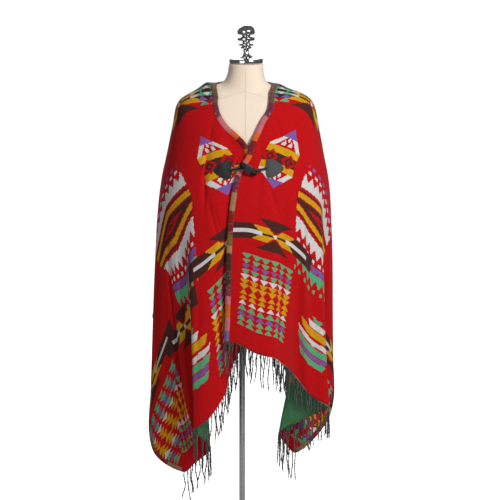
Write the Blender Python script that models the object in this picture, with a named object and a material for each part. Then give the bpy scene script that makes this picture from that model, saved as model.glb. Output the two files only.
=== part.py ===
"""Fringed open-front poncho worn on a limbless dress form, in metres, +Z up.

The origin is on the floor under the middle of the stand. The front faces -Y, and right, as
seen from the front, is +X. The cloth is one woven rectangle with a slit from the middle of
its front hem to behind the neck. It is modelled in three panels that part at the shoulder
line, each a thin wall through columns that run from the neckline to the hem.
"""
import math
from collections import namedtuple

import bmesh
import bpy
import numpy as np
from mathutils import Vector
from mathutils.bvhtree import BVHTree

# Driving dimensions
GAP = 0.0003
CLOTH_THICK = 0.002
HALF_CUT_WIDTH = 0.80
HALF_CUT_LENGTH = 0.78
ROUNDNESS = 2.25
OUTWARD_RISE = 0.12

# How a column is drawn and sampled
PANEL_ROWS = 14
ROW_CROWDING = 1.35
COLUMNS_A_FOLD = 2
OVER_STEPS = 12
HANG_STEPS = 12
BUST_LEAD = 0.25
LEAST_FALL = 0.1
HEM_LEAD = 0.30
SLOPE_STEP = 0.004
UNDER_AT_NECK = 0.25
UNDER_RATE = 2

# The cloth over the shoulders, a row for each level from the neck down to the bust.
Level = namedtuple("Level", "name right_x left_x side_z front_y front_z back_y back_z")
LEVELS = (
    Level("neck", 0.078, 0.062, 1.441, -0.056, 1.425, 0.060, 1.447),
    Level("collar", 0.112, 0.104, 1.431, -0.072, 1.405, 0.082, 1.431),
    Level("shoulder", 0.178, 0.156, 1.410, -0.092, 1.370, 0.104, 1.392),
    Level("tip", 0.212, 0.191, 1.380, -0.106, 1.335, 0.122, 1.342),
    Level("arm", 0.228, 0.206, 1.310, -0.124, 1.270, 0.138, 1.270),
    Level("bust", 0.250, 0.231, 1.190, -0.150, 1.180, 0.150, 1.180),
)
LAST_LEVEL = len(LEVELS) - 1

# Soft lumps and dents where the straight slit opens round the neck.
Lump = namedtuple("Lump", "side deg level height wide_deg wide_level")
LUMPS = (
    Lump("left", 84, 1.00, 0.013, 26, 0.42),
    Lump("left", 62, 0.55, -0.003, 12, 0.35),
    Lump("left", 48, 2.30, -0.006, 7, 1.10),
    Lump("right", 86, 0.95, 0.008, 24, 0.35),
    Lump("right", 66, 0.60, -0.002, 10, 0.30),
)

# A row for each fold or corner, from the slit round to the middle of the back. reach is
# the way along the cut edge; top is where the column leaves the neckline; bust_deg is its
# bearing at the bust, under how far it lies beneath the other panel there.
Column = namedtuple("Column", "name reach top_deg top_level bust_deg under hem_x hem_y hem_z")
RIGHT = (
    Column("slit", 0.00, 4, 4.00, -3, 0.000, -0.052, -0.205, 0.692),
    Column("edging", 0.018, 5.5, 3.76, 0.5, 0.000, -0.039, -0.210, 0.701),
    Column("lap", 0.05, 8, 3.45, 6, 0.000, -0.018, -0.215, 0.704),
    Column("front", 0.12, 12, 2.90, 14, 0.000, 0.040, -0.224, 0.676),
    Column("front edge", 0.21, 18, 2.30, 26, 0.000, 0.110, -0.214, 0.652),
    Column("trough", 0.32, 26, 1.70, 36, 0.000, 0.156, -0.150, 0.590),
    Column("trough side", 0.41, 34, 1.30, 44, 0.000, 0.204, -0.136, 0.527),
    Column("outer fold", 0.475, 44, 0.95, 53, 0.000, 0.256, -0.140, 0.493),
    Column("outer turn", 0.51, 50, 0.80, 58, 0.000, 0.250, -0.112, 0.478),
    Column("green face", 0.60, 56, 0.68, 63, 0.000, 0.180, -0.094, 0.440),
    Column("inner fold", 0.69, 62, 0.58, 68, 0.000, 0.112, -0.080, 0.396),
    Column("inner turn", 0.72, 66, 0.52, 72, 0.000, 0.118, -0.052, 0.372),
    Column("front corner", 0.80, 72, 0.46, 77, 0.000, 0.166, -0.036, 0.322),
    Column("side hem", 0.96, 80, 0.38, 83, 0.000, 0.262, -0.022, 0.425),
    Column("side ridge", 1.12, 84, 0.34, 87, 0.000, 0.277, 0.012, 0.545),
    Column("side trough", 1.34, 88, 0.32, 91, 0.000, 0.238, 0.038, 0.665),
    Column("shoulder line", 1.58, 92, 0.30, 95, 0.000, 0.274, 0.062, 0.735),
    Column("back trough", 1.82, 98, 0.26, 101, 0.000, 0.231, 0.082, 0.655),
    Column("back ridge", 2.10, 105, 0.22, 108, 0.000, 0.268, 0.128, 0.500),
    Column("back corner", 2.36, 114, 0.18, 116, 0.000, 0.220, 0.184, 0.350),
    Column("back turn", 2.47, 122, 0.16, 124, 0.000, 0.174, 0.136, 0.405),
    Column("back fold", 2.60, 132, 0.14, 134, 0.000, 0.150, 0.190, 0.485),
    Column("back dip", 2.74, 142, 0.12, 146, 0.000, 0.116, 0.158, 0.575),
    Column("back flute", 2.88, 154, 0.10, 158, 0.000, 0.081, 0.219, 0.680),
    Column("back hollow", 3.02, 166, 0.10, 169, 0.000, 0.042, 0.156, 0.735),
    Column("middle back", 3.16, 180, 0.10, 180, 0.000, 0.000, 0.208, 0.765),
)
LEFT = (
    Column("slit", 0.00, -3, 4.00, -13, 0.015, 0.085, -0.158, 0.722),
    Column("edging", 0.018, -0.5, 3.76, -9.5, 0.015, 0.070, -0.160, 0.716),
    Column("under lap", 0.055, 4.5, 3.45, -4, 0.014, 0.038, -0.168, 0.704),
    Column("lap line", 0.10, 10, 3.20, 3, 0.011, -0.004, -0.184, 0.676),
    Column("dark flap", 0.16, 14, 2.95, 9, 0.005, -0.036, -0.170, 0.600),
    Column("flap edge", 0.21, 17, 2.70, 14, 0.000, -0.050, -0.188, 0.545),
    Column("front", 0.30, 21, 2.35, 23, 0.000, -0.096, -0.200, 0.474),
    Column("outer fold", 0.38, 26, 1.90, 31, 0.000, -0.141, -0.190, 0.437),
    Column("outer turn", 0.42, 31, 1.58, 35, 0.000, -0.136, -0.162, 0.416),
    Column("inner fold", 0.50, 36, 1.25, 41, 0.000, -0.095, -0.144, 0.371),
    Column("inner turn", 0.54, 42, 1.05, 46, 0.000, -0.102, -0.120, 0.346),
    Column("third face", 0.66, 50, 0.80, 54, 0.000, -0.142, -0.116, 0.312),
    Column("front corner", 0.80, 60, 0.60, 63, 0.000, -0.180, -0.108, 0.283),
    Column("side hem", 0.97, 70, 0.46, 73, 0.000, -0.266, -0.064, 0.330),
    Column("side ridge", 1.12, 78, 0.38, 82, 0.000, -0.280, -0.020, 0.440),
    Column("side trough", 1.34, 85, 0.34, 89, 0.000, -0.240, 0.024, 0.610),
    Column("shoulder line", 1.58, 92, 0.30, 95, 0.000, -0.272, 0.062, 0.720),
    Column("back trough", 1.82, 98, 0.26, 101, 0.000, -0.234, 0.084, 0.640),
    Column("back ridge", 2.10, 105, 0.22, 108, 0.000, -0.270, 0.126, 0.480),
    Column("back corner", 2.36, 114, 0.18, 116, 0.000, -0.222, 0.184, 0.330),
    Column("back turn", 2.48, 122, 0.16, 124, 0.000, -0.178, 0.136, 0.390),
    Column("back fold", 2.60, 132, 0.14, 134, 0.000, -0.155, 0.187, 0.470),
    Column("back dip", 2.73, 142, 0.12, 145, 0.000, -0.118, 0.159, 0.556),
    Column("back flute", 2.87, 154, 0.10, 157, 0.000, -0.086, 0.211, 0.665),
    Column("back hollow", 3.02, 166, 0.10, 168, 0.000, -0.046, 0.156, 0.728),
    Column("middle back", 3.16, 180, 0.10, 180, 0.000, 0.000, 0.208, 0.765),
)
COLUMNS = {"right": RIGHT, "left": LEFT}
CORNER_REACH = HALF_CUT_WIDTH
SHOULDER_REACH = HALF_CUT_WIDTH + HALF_CUT_LENGTH
BACK_CORNER_REACH = HALF_CUT_WIDTH + 2 * HALF_CUT_LENGTH
FULL_REACH = 2 * HALF_CUT_WIDTH + 2 * HALF_CUT_LENGTH

# Trim
NECK_EDGING_WIDTH = 0.015
SIDE_EDGING_RISE = 0.024
EDGING_THICK = 0.0012
EDGING_GAP = 0.0007
FOOT_TRIM = 0.1
STRAND_START = 0.1
FRINGE_STRIP = 0.0035
FRINGE_LENGTH = 0.090
FRINGE_THICK = 0.0019
FRINGE_GAP = 0.0009
STRAND_WIDTH = 0.0042
STRAND_LEAN = 0.009
STRAND_SWAY = 0.008
StrandPart = namedtuple("StrandPart", "share narrow lean")
STRAND_PARTS = (StrandPart(0.45, 0.8, 1.0), StrandPart(0.55, 0.7, 0.15))
FRONT_STRANDS = 38
BACK_STRANDS = 66

# Fastening. Outlines are seen from the front, as x and z about the patch's middle.
Spot = namedtuple("Spot", "x z")
PATCH_OUTLINE = (
    Spot(-0.019, -0.023), Spot(-0.004, -0.026), Spot(0.014, -0.017), Spot(0.029, -0.002),
    Spot(0.016, 0.015), Spot(-0.002, 0.024), Spot(-0.019, 0.022), Spot(-0.022, 0.000),
)
PATCH_RINGS = (1.0, 0.66, 0.33)
PATCH_THICK = 0.002
PATCH_SIDE = 0.0234
PATCH_GAP = 0.0011
RIGHT_PATCH = Spot(0.092, 1.207)
LEFT_PATCH = Spot(-0.052, 1.202)
TOGGLE_MIDDLE = Spot(0.019, 1.207)
TOGGLE_LENGTH = 0.058
TOGGLE_RADIUS = 0.0098
TOGGLE_TILT_DEG = 33
TOGGLE_CLEAR = 0.0025
TOGGLE_SIDES = 14
Waist = namedtuple("Waist", "at share")
TOGGLE_SHAPE = (
    Waist(-0.5, 0.62), Waist(-0.46, 0.84), Waist(-0.2, 1.0),
    Waist(0.2, 1.0), Waist(0.46, 0.84), Waist(0.5, 0.62),
)
CORD_RADIUS = 0.0030
CORD_SAG = 0.0012
CORD_LIFT = 0.0009
CORD_STEPS = 4
CORD_SIDES = 8
CordEnd = namedtuple("CordEnd", "share tuck")
RIGHT_CORD = CordEnd(0.30, 0.80)
LEFT_CORD = CordEnd(-0.30, 0.62)

# Dress form
FORM_X = 0.010
NECK_X = 0.0125
NECK_TOP_Z = 1.500
Section = namedtuple("Section", "x z half_width front_y back_y")
NECK = (
    Section(0.0125, NECK_TOP_Z, 0.051, -0.051, 0.051),
    Section(0.0115, 1.478, 0.052, -0.051, 0.052),
    Section(0.0105, 1.455, 0.057, -0.051, 0.054),
)
CAP_RADIUS = 0.0495
CAP_HEIGHT = 0.016
CAP_EDGE = 0.004
CAP_FOOT = 0.002
UNDER_CLOTH = 0.0012
UNDER_SHOULDER = 0.0004
FORM_EASE = 0.007
FORM_TIP_EASE = 0.011
TIP_LEVEL = 1.0
TIP_LEVELS = 1.5
SHOULDER_LEVELS = (0.0, 0.5, 1.0, 1.5, 2.0, 2.5, 3.0)
ARM_LEVEL = 3.5
ARM_SHARE = 0.45
TORSO = (
    Section(0.008, 1.230, 0.176, -0.112, 0.112),
    Section(0.008, 1.150, 0.168, -0.118, 0.104),
    Section(0.008, 1.050, 0.140, -0.096, 0.090),
    Section(0.008, 0.960, 0.132, -0.090, 0.090),
    Section(0.008, 0.870, 0.158, -0.098, 0.112),
    Section(0.008, 0.800, 0.172, -0.102, 0.122),
    Section(0.008, 0.775, 0.164, -0.094, 0.114),
)
FORM_SIDES = 36

# Turned metal parts, as radius and height.
Turn = namedtuple("Turn", "r z")
FINIAL = (
    Turn(0.0000, 1.6140), Turn(0.0150, 1.6110), Turn(0.0235, 1.6040), Turn(0.0258, 1.5940),
    Turn(0.0240, 1.5860), Turn(0.0120, 1.5835), Turn(0.0120, 1.5790), Turn(0.0250, 1.5765),
    Turn(0.0250, 1.5675), Turn(0.0110, 1.5650), Turn(0.0110, 1.5600), Turn(0.0215, 1.5585),
    Turn(0.0215, 1.5525), Turn(0.0100, 1.5510), Turn(0.0160, 1.5490), Turn(0.0160, 1.5440),
    Turn(0.0078, 1.5420), Turn(0.0078, 1.5300), Turn(0.0185, 1.5200), Turn(0.0185, 1.5168),
    Turn(0.0000, 1.5168),
)
POLE_RADIUS = 0.009
BASE_HUB_TOP = 0.060
BASE = (
    Turn(0.0000, 0.0600), Turn(0.0150, 0.0600), Turn(0.0170, 0.0560), Turn(0.0170, 0.0240),
    Turn(0.0300, 0.0150), Turn(0.1550, 0.0110), Turn(0.1640, 0.0080), Turn(0.1650, 0.0000),
    Turn(0.0000, 0.0000),
)
TURN_SIDES = 24

Finish = namedtuple("Finish", "color roughness metallic")
FINISHES = {
    "red_wool": Finish((0.52, 0.012, 0.014), 0.9, 0.0),
    "woven_edging": Finish((0.22, 0.07, 0.05), 0.85, 0.0),
    "black_yarn": Finish((0.035, 0.035, 0.038), 0.9, 0.0),
    "grey_leather": Finish((0.06, 0.055, 0.06), 0.55, 0.0),
    "black_cord": Finish((0.02, 0.02, 0.02), 0.7, 0.0),
    "dark_horn": Finish((0.03, 0.022, 0.016), 0.3, 0.0),
    "cream_linen": Finish((0.84, 0.76, 0.66), 0.85, 0.0),
    "polished_metal": Finish((0.62, 0.62, 0.63), 0.2, 1.0),
}


def spline(places, values, at):
    """Smooth curve through the values at rising places, read at one place."""
    k = int(np.clip(np.searchsorted(places, at) - 1, 0, len(places) - 2))
    before, after = max(k - 1, 0), min(k + 2, len(places) - 1)
    span = places[k + 1] - places[k]
    f = (at - places[k]) / span
    slope_in = (values[k + 1] - values[before]) / (places[k + 1] - places[before]) * span
    slope_out = (values[after] - values[k]) / (places[after] - places[k]) * span
    return (
        values[k] * (1 + 2 * f) * (1 - f) ** 2
        + slope_in * f * (1 - f) ** 2
        + values[k + 1] * f * f * (3 - 2 * f)
        + slope_out * f * f * (f - 1)
    )


LEVEL_PLACES = np.arange(len(LEVELS), dtype=float)
LEVEL_VALUES = np.array([level[1:] for level in LEVELS])


def on_body(side, deg, level):
    """A smooth point over the shoulders and bust, and the outward direction there."""
    right_x, left_x, side_z, front_y, front_z, back_y, back_z = spline(
        LEVEL_PLACES, LEVEL_VALUES, level
    )
    across = right_x if side == "right" else -left_x
    turn = math.radians(deg)
    s, c = math.sin(turn), math.cos(turn)
    wide = math.copysign(abs(s) ** (2 / ROUNDNESS), s)
    deep = math.copysign(abs(c) ** (2 / ROUNDNESS), c)
    depth, end_z = (front_y, front_z) if c > 0 else (back_y, back_z)
    middle_x = FORM_X * (1 - abs(wide)) * max(0.0, 1 - level / LAST_LEVEL)
    x, y = middle_x + across * wide, -abs(depth) * deep
    z = side_z + (end_z - side_z) * c * c
    return Vector((x, y, z)), Vector((x - FORM_X, y, OUTWARD_RISE)).normalized()


def over_body(side, deg, level, inward):
    """A point of the cloth's middle surface over the shoulders and bust."""
    point, outward = on_body(side, deg, level)
    point.z += sum(
        lump.height
        * math.exp(-(((deg - lump.deg) / lump.wide_deg) ** 2))
        * math.exp(-(((level - lump.level) / lump.wide_level) ** 2))
        for lump in LUMPS
        if lump.side == side
    )
    return point - outward * inward


def column_at(side, reach):
    """The fold table's values at any way along the cut edge."""
    rows = COLUMNS[side]
    places = np.array([row.reach for row in rows])
    values = np.array([row[2:] for row in rows], dtype=float)
    return spline(places, values, reach)


def column_path(side, reach, steps):
    """Evenly spaced points from the neckline down to the hem."""
    top_deg, top_level, bust_deg, under, hem_x, hem_y, hem_z = column_at(side, reach)
    path = []
    for i in range(OVER_STEPS + 1):
        f = i / OVER_STEPS
        level = top_level + (LAST_LEVEL - top_level) * f
        ease = f * f * (3 - 2 * f)
        deg = top_deg + (bust_deg - top_deg) * ease
        path.append(over_body(side, deg, level, under * min(1, UNDER_AT_NECK + UNDER_RATE * f)))
    bust, above = path[-1], path[-1 - OVER_STEPS // 4]
    hem = Vector((hem_x, hem_y, hem_z))
    drop = (hem - bust).length
    lead = (bust - above).normalized() * drop * BUST_LEAD
    lead.z = min(lead.z, -drop * LEAST_FALL)
    tail = (hem - bust) * HEM_LEAD
    for i in range(1, HANG_STEPS + 1):
        f = i / HANG_STEPS
        g = 1 - f
        path.append(
            bust * g**3
            + (bust + lead) * 3 * g * g * f
            + (hem - tail) * 3 * g * f * f
            + hem * f**3
        )
    points = np.array(path)
    run = np.concatenate(([0], np.cumsum(np.linalg.norm(np.diff(points, axis=0), axis=1))))
    top, low = NECK_EDGING_WIDTH, run[-1] - SIDE_EDGING_RISE
    even = top + (low - top) * np.linspace(0, 1, steps - 1) ** ROW_CROWDING
    even = np.concatenate(([0], even, run[-1:]))
    return np.column_stack([np.interp(even, run, points[:, k]) for k in range(3)])


def column_places(side, first, last):
    """Ways along the cut edge: every fold of the table between two, and places between."""
    marks = [row.reach for row in COLUMNS[side] if first <= row.reach <= last]
    places = [marks[0]]
    for low, high in zip(marks, marks[1:]):
        places += list(np.linspace(low, high, COLUMNS_A_FOLD + 1)[1:])
    return places


def sheet_grid(side, first, last):
    """Points, outward normals and sideways directions of one side, column by column."""
    reaches = column_places(side, first, last)
    points = np.array([column_path(side, reach, PANEL_ROWS) for reach in reaches])
    later = [min(reach + SLOPE_STEP, FULL_REACH) for reach in reaches]
    sooner = [max(reach - SLOPE_STEP, 0) for reach in reaches]
    along = np.array([column_path(side, reach, PANEL_ROWS) for reach in later])
    along -= np.array([column_path(side, reach, PANEL_ROWS) for reach in sooner])
    normals = np.cross(np.gradient(points, axis=1), along)
    normals *= -1 if side == "left" else 1
    normals /= np.linalg.norm(normals, axis=2, keepdims=True)
    along /= np.linalg.norm(along, axis=2, keepdims=True)
    return points, normals, along


def material(name):
    """The Principled material of one finish."""
    made = bpy.data.materials.get(name)
    if made:
        return made
    finish = FINISHES[name]
    made = bpy.data.materials.new(name)
    made.use_nodes = True
    shader = made.node_tree.nodes["Principled BSDF"]
    shader.inputs["Base Color"].default_value = (*finish.color, 1)
    shader.inputs["Roughness"].default_value = finish.roughness
    shader.inputs["Metallic"].default_value = finish.metallic
    return made


def add_object(name, bm, finish):
    """Turns a bmesh into a named object with outward faces."""
    bmesh.ops.remove_doubles(bm, verts=bm.verts, dist=1e-6)
    bmesh.ops.recalc_face_normals(bm, faces=bm.faces)
    mesh = bpy.data.meshes.new(name)
    bm.to_mesh(mesh)
    bm.free()
    mesh.shade_smooth()
    mesh.materials.append(material(finish))
    made = bpy.data.objects.new(name, mesh)
    bpy.context.scene.collection.objects.link(made)
    return made


def wall(bm, outer, inner, turned_back=0):
    """A closed wall between two equal grids of points, in triangles.

    The first turned_back columns have their triangles' long sides the other way.
    """
    columns, rows = len(outer), len(outer[0])
    skins = []
    for grid in (outer, inner):
        skins.append([[bm.verts.new(p) for p in line] for line in grid])
    out, back = skins
    for skin in skins:
        for i in range(columns - 1):
            for j in range(rows - 1):
                a, b = skin[i][j], skin[i + 1][j]
                c, d = skin[i + 1][j + 1], skin[i][j + 1]
                pair = ((a, b, d), (b, c, d)) if i < turned_back else ((a, b, c), (a, c, d))
                for corners in pair:
                    bm.faces.new(corners)
    rim = [(i, 0) for i in range(columns)]
    rim += [(columns - 1, j) for j in range(1, rows)]
    rim += [(i, rows - 1) for i in range(columns - 2, -1, -1)]
    rim += [(0, j) for j in range(rows - 2, 0, -1)]
    for (i, j), (k, m) in zip(rim, rim[1:] + rim[:1]):
        bm.faces.new((out[k][m], out[i][j], back[i][j], back[k][m]))
    return out, back


def front_grid(side):
    """One front, from the slit round to the shoulder line."""
    points, normals, along = sheet_grid(side, 0, SHOULDER_REACH)
    points[-1] -= along[-1] * GAP
    return points, normals


def back_grid():
    """The whole back, from the right shoulder line round to the left one."""
    right, right_out, right_along = sheet_grid("right", SHOULDER_REACH, FULL_REACH)
    left, left_out, left_along = sheet_grid("left", SHOULDER_REACH, FULL_REACH)
    middle = right_out[-1] + left_out[-1]
    right_out[-1] = middle / np.linalg.norm(middle, axis=1, keepdims=True)
    right[0] += right_along[0] * GAP
    left[0] += left_along[0] * GAP
    points = np.concatenate((right, left[::-1][1:]))
    return points, np.concatenate((right_out, left_out[::-1][1:]))


def panel(name, grid):
    """One panel of cloth as a closed wall."""
    points, normals = grid
    half = normals * CLOTH_THICK / 2
    bm = bmesh.new()
    wall(bm, points + half, points - half)
    return add_object(name, bm, "red_wool")


def face_tree(grid):
    """The outer face of a panel, for placing what lies on it."""
    points, normals = grid
    face = points + normals * CLOTH_THICK / 2
    columns, rows = face.shape[:2]
    triangles = []
    for i in range(columns - 1):
        for j in range(rows - 1):
            near, far = i * rows + j, (i + 1) * rows + j
            triangles += [(near, far, far + 1), (near, far + 1, near + 1)]
    return BVHTree.FromPolygons([Vector(p) for p in face.reshape(-1, 3)], triangles)


def inward_from(edge, towards, lifts):
    """Unit directions square to an edge, within the cloth and into it."""
    inward = np.cross(lifts, np.gradient(edge, axis=0))
    inward /= np.linalg.norm(inward, axis=1, keepdims=True)
    return inward * np.sign(np.sum(inward * (towards - edge), axis=1))[:, None]


def band(name, edge, inside, lifts, lifts_inside, turned_back=0):
    """Edging on a panel's outer face, made from two lines of its points, moved out."""
    line = np.stack((edge, inside), axis=1)
    out = np.stack((lifts, lifts_inside), axis=1)
    low = CLOTH_THICK / 2 + EDGING_GAP
    bm = bmesh.new()
    wall(bm, line + out * (low + EDGING_THICK), line + out * low, turned_back)
    return add_object(name, bm, "woven_edging")


def slit_edging(side, grid):
    """Edging from the slit's foot up to the neckline and round to the shoulder line."""
    lines = []
    for values in grid:
        edge = np.concatenate((values[0][::-1], values[1:-1, 0]))
        inside = np.concatenate((values[1][:0:-1], [values[1][1]], values[1:-1, 1]))
        lines.append((edge, inside))
    (edge, inside), (lifts, lifts_inside) = lines
    foot = np.array(edge[0]) * (1 - FOOT_TRIM) + edge[1] * FOOT_TRIM
    foot_inside = inside[0] * (1 - FOOT_TRIM) + inside[1] * FOOT_TRIM
    edge[0], inside[0] = foot, foot_inside
    return band(f"slit_edging_{side}", edge, inside, lifts, lifts_inside, PANEL_ROWS)


def back_neck_edging(grid):
    """Edging round the back of the neck."""
    points, normals = grid
    band("neck_edging_back", points[1:-1, 0], points[1:-1, 1], normals[1:-1, 0],
         normals[1:-1, 1])


def side_edging(name, grid, stretch):
    """Edging along a side edge of the cut, on a stretch of a panel's columns."""
    points, normals = grid
    band(name, points[stretch, -2], points[stretch, -1], normals[stretch, -2],
         normals[stretch, -1])


def column_number(side, first, reach):
    """Which column of a panel lies at a place along the cut edge."""
    return len(column_places(side, first, reach)) - 1


def fringe(name, hem, above, normals, strands):
    """A narrow strip under a hem, its strands extruded from the strip's lower edge."""
    run = np.concatenate(([0], np.cumsum(np.linalg.norm(np.diff(hem, axis=0), axis=1))))
    pitch = run[-1] / strands
    starts = pitch * (np.arange(strands) + 0.5)
    spare = STRAND_WIDTH * STRAND_START
    for mark in run:
        starts[(starts < mark) & (starts + STRAND_WIDTH + 2 * spare > mark)] = mark + spare
    places = np.unique(np.concatenate((run, starts, starts + STRAND_WIDTH)))

    def read(values):
        return np.column_stack([np.interp(places, run, values[:, k]) for k in range(3)])

    edge, out, away = read(hem), read(normals), read(-inward_from(hem, above, normals))
    top = edge + away * FRINGE_GAP
    low = top + away * FRINGE_STRIP
    half = out * FRINGE_THICK / 2
    bm = bmesh.new()
    outer = np.stack((top + half, low + half), axis=1)
    inner = np.stack((top - half, low - half), axis=1)
    front, back = wall(bm, outer, inner)
    for strand, k in enumerate(np.searchsorted(places, starts)):
        corners = {front[k][1], front[k + 1][1], back[k][1], back[k + 1][1]}
        tip = next(f for f in front[k][1].link_faces if set(f.verts) == corners)
        lean = Vector(away[k]) * STRAND_LEAN + Vector(out[k]) * STRAND_SWAY * (strand % 2 - 0.5)
        for part in STRAND_PARTS:
            tip = bmesh.ops.extrude_discrete_faces(bm, faces=[tip])["faces"][0]
            middle = tip.calc_center_median()
            for vert in tip.verts:
                vert.co = middle + (vert.co - middle) * part.narrow
                vert.co += lean * part.lean + Vector((0, 0, -FRINGE_LENGTH * part.share))
    return add_object(name, bm, "black_yarn")


def front_fringe(side):
    """Fringe of one front hem, from the slit to the front corner."""
    points, normals = front_grid(side)
    hem = slice(0, column_number(side, 0, CORNER_REACH) + 1)
    return fringe(f"fringe_{side}", points[hem, -1], points[hem, -2], normals[hem, -1],
                  FRONT_STRANDS)


def back_fringe():
    """Fringe of the back hem, from corner to corner."""
    points, normals = back_grid()
    first = column_number("right", SHOULDER_REACH, BACK_CORNER_REACH)
    last = column_number("left", SHOULDER_REACH, BACK_CORNER_REACH)
    hem = slice(first, len(points) - last)
    return fringe("fringe_back", points[hem, -1], points[hem, -2], normals[hem, -1],
                  BACK_STRANDS)


def on_panel(tree, x, z):
    """The panel's outer point straight behind a place seen from the front."""
    hit, normal, _, _ = tree.ray_cast(Vector((x, -1, z)), Vector((0, 1, 0)))
    if normal.y > 0:
        normal = -normal
    return hit, normal


def leather_patch(side, middle, flip):
    """A leaf-shaped leather patch, made from the panel's points moved out."""
    tree = face_tree(front_grid(side))
    bm = bmesh.new()
    skins = []
    for lift in (PATCH_GAP, PATCH_GAP + PATCH_THICK):
        rings = []
        for share in PATCH_RINGS:
            hits = [on_panel(tree, middle.x + flip * p.x * share, middle.z + p.z * share)
                    for p in PATCH_OUTLINE]
            rings.append([bm.verts.new(hit + out * lift) for hit, out in hits])
        hit, out = on_panel(tree, middle.x, middle.z)
        skins.append((*rings, bm.verts.new(hit + out * lift)))
    count = len(PATCH_OUTLINE)
    for k in range(count):
        m = (k + 1) % count
        low_rim, high_rim = skins[0][0], skins[1][0]
        bm.faces.new((low_rim[k], low_rim[m], high_rim[m], high_rim[k]))
        for *rings, centre in skins:
            for wide, narrow in zip(rings, rings[1:]):
                bm.faces.new((wide[k], wide[m], narrow[m], narrow[k]))
            bm.faces.new((rings[-1][k], rings[-1][m], centre))
    return add_object(f"leather_patch_{side}", bm, "grey_leather")


def tube(bm, path, radii, sides):
    """A round bar along a path, with flat closed ends."""
    rings = []
    for k, (p, r) in enumerate(zip(path, radii)):
        before, after = path[max(k - 1, 0)], path[min(k + 1, len(path) - 1)]
        way = (after - before).normalized()
        turn = way.to_track_quat("Z", "Y").to_matrix()
        ring = []
        for m in range(sides):
            a = 2 * math.pi * m / sides
            ring.append(bm.verts.new(p + turn @ Vector((math.cos(a) * r, math.sin(a) * r, 0))))
        rings.append(ring)
    for low, high in zip(rings, rings[1:]):
        for m in range(sides):
            n = (m + 1) % sides
            bm.faces.new((low[m], low[n], high[n], high[m]))
    bm.faces.new(rings[0][::-1])
    bm.faces.new(rings[-1])


def toggle_centre():
    """Middle of the toggle, which rests on the lapped fronts."""
    hit, _ = on_panel(face_tree(front_grid("right")), TOGGLE_MIDDLE.x, TOGGLE_MIDDLE.z)
    return Vector((hit.x, hit.y - TOGGLE_RADIUS - TOGGLE_CLEAR, hit.z))


def toggle_way():
    """The direction of the toggle's axis."""
    tilt = math.radians(TOGGLE_TILT_DEG)
    return Vector((math.cos(tilt), 0, -math.sin(tilt)))


def toggle():
    """A horn toggle, thickest in the middle."""
    middle, way = toggle_centre(), toggle_way()
    path = [middle + way * TOGGLE_LENGTH * waist.at for waist in TOGGLE_SHAPE]
    bm = bmesh.new()
    tube(bm, path, [TOGGLE_RADIUS * waist.share for waist in TOGGLE_SHAPE], TOGGLE_SIDES)
    return add_object("toggle", bm, "dark_horn")


def toggle_cord(side, patch, end):
    """A cord from a leather patch to a share of the toggle's length, tucked in close."""
    outward = -1 if side == "left" else 1
    tree = face_tree(front_grid(side))
    hit, _ = on_panel(tree, patch.x - outward * PATCH_SIDE, patch.z)
    begin = Vector((hit.x, hit.y - CORD_RADIUS - CORD_LIFT, hit.z))
    across = TOGGLE_RADIUS / math.sin(math.radians(TOGGLE_TILT_DEG)) - CORD_RADIUS * end.tuck
    finish = toggle_centre() + toggle_way() * TOGGLE_LENGTH * end.share
    finish += Vector((outward * across, 0, 0))
    path = []
    for k in range(CORD_STEPS + 1):
        f = k / CORD_STEPS
        path.append(begin.lerp(finish, f) - Vector((0, CORD_SAG * math.sin(math.pi * f), 0)))
    bm = bmesh.new()
    tube(bm, path, [CORD_RADIUS] * len(path), CORD_SIDES)
    return add_object(f"toggle_cord_{side}", bm, "black_cord")


def ring_of_form(level):
    """A ring of the form just under the cloth at one shoulder level."""
    tip = min(max(level - TIP_LEVEL, 0) / TIP_LEVELS, 1)
    ring = []
    for k in range(FORM_SIDES):
        turn = 360 * k / FORM_SIDES
        side, deg = ("right", turn) if turn <= 180 else ("left", 360 - turn)
        point, outward = on_body(side, deg, level)
        s, c = math.sin(math.radians(deg)), math.cos(math.radians(deg))
        clear = UNDER_CLOTH + FORM_EASE * c * c + FORM_TIP_EASE * tip * s * s
        ring.append(point - outward * clear - Vector((0, 0, UNDER_SHOULDER)))
    return ring


def flat_ring(row):
    """A level ring of the form."""
    ring = []
    for k in range(FORM_SIDES):
        turn = 2 * math.pi * k / FORM_SIDES
        s, c = math.sin(turn), math.cos(turn)
        wide = math.copysign(abs(s) ** (2 / ROUNDNESS), s)
        deep = abs(c) ** (2 / ROUNDNESS) * (row.front_y if c > 0 else row.back_y)
        ring.append(Vector((row.x + row.half_width * wide, deep, row.z)))
    return ring


def torso():
    """Neck, shoulders and body of the form, one smooth closed shape."""
    rings = [flat_ring(row) for row in NECK]
    rings += [ring_of_form(level) for level in SHOULDER_LEVELS]
    below = flat_ring(TORSO[0])
    rings.append([p.lerp(q, ARM_SHARE) for p, q in zip(ring_of_form(ARM_LEVEL), below)])
    rings += [flat_ring(row) for row in TORSO]
    bm = bmesh.new()
    made = [[bm.verts.new(p) for p in ring] for ring in rings]
    for low, high in zip(made, made[1:]):
        for k in range(FORM_SIDES):
            m = (k + 1) % FORM_SIDES
            bm.faces.new((low[k], low[m], high[m], high[k]))
    bm.faces.new(made[0][::-1])
    bm.faces.new(made[-1])
    return add_object("form_torso", bm, "cream_linen")


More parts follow.
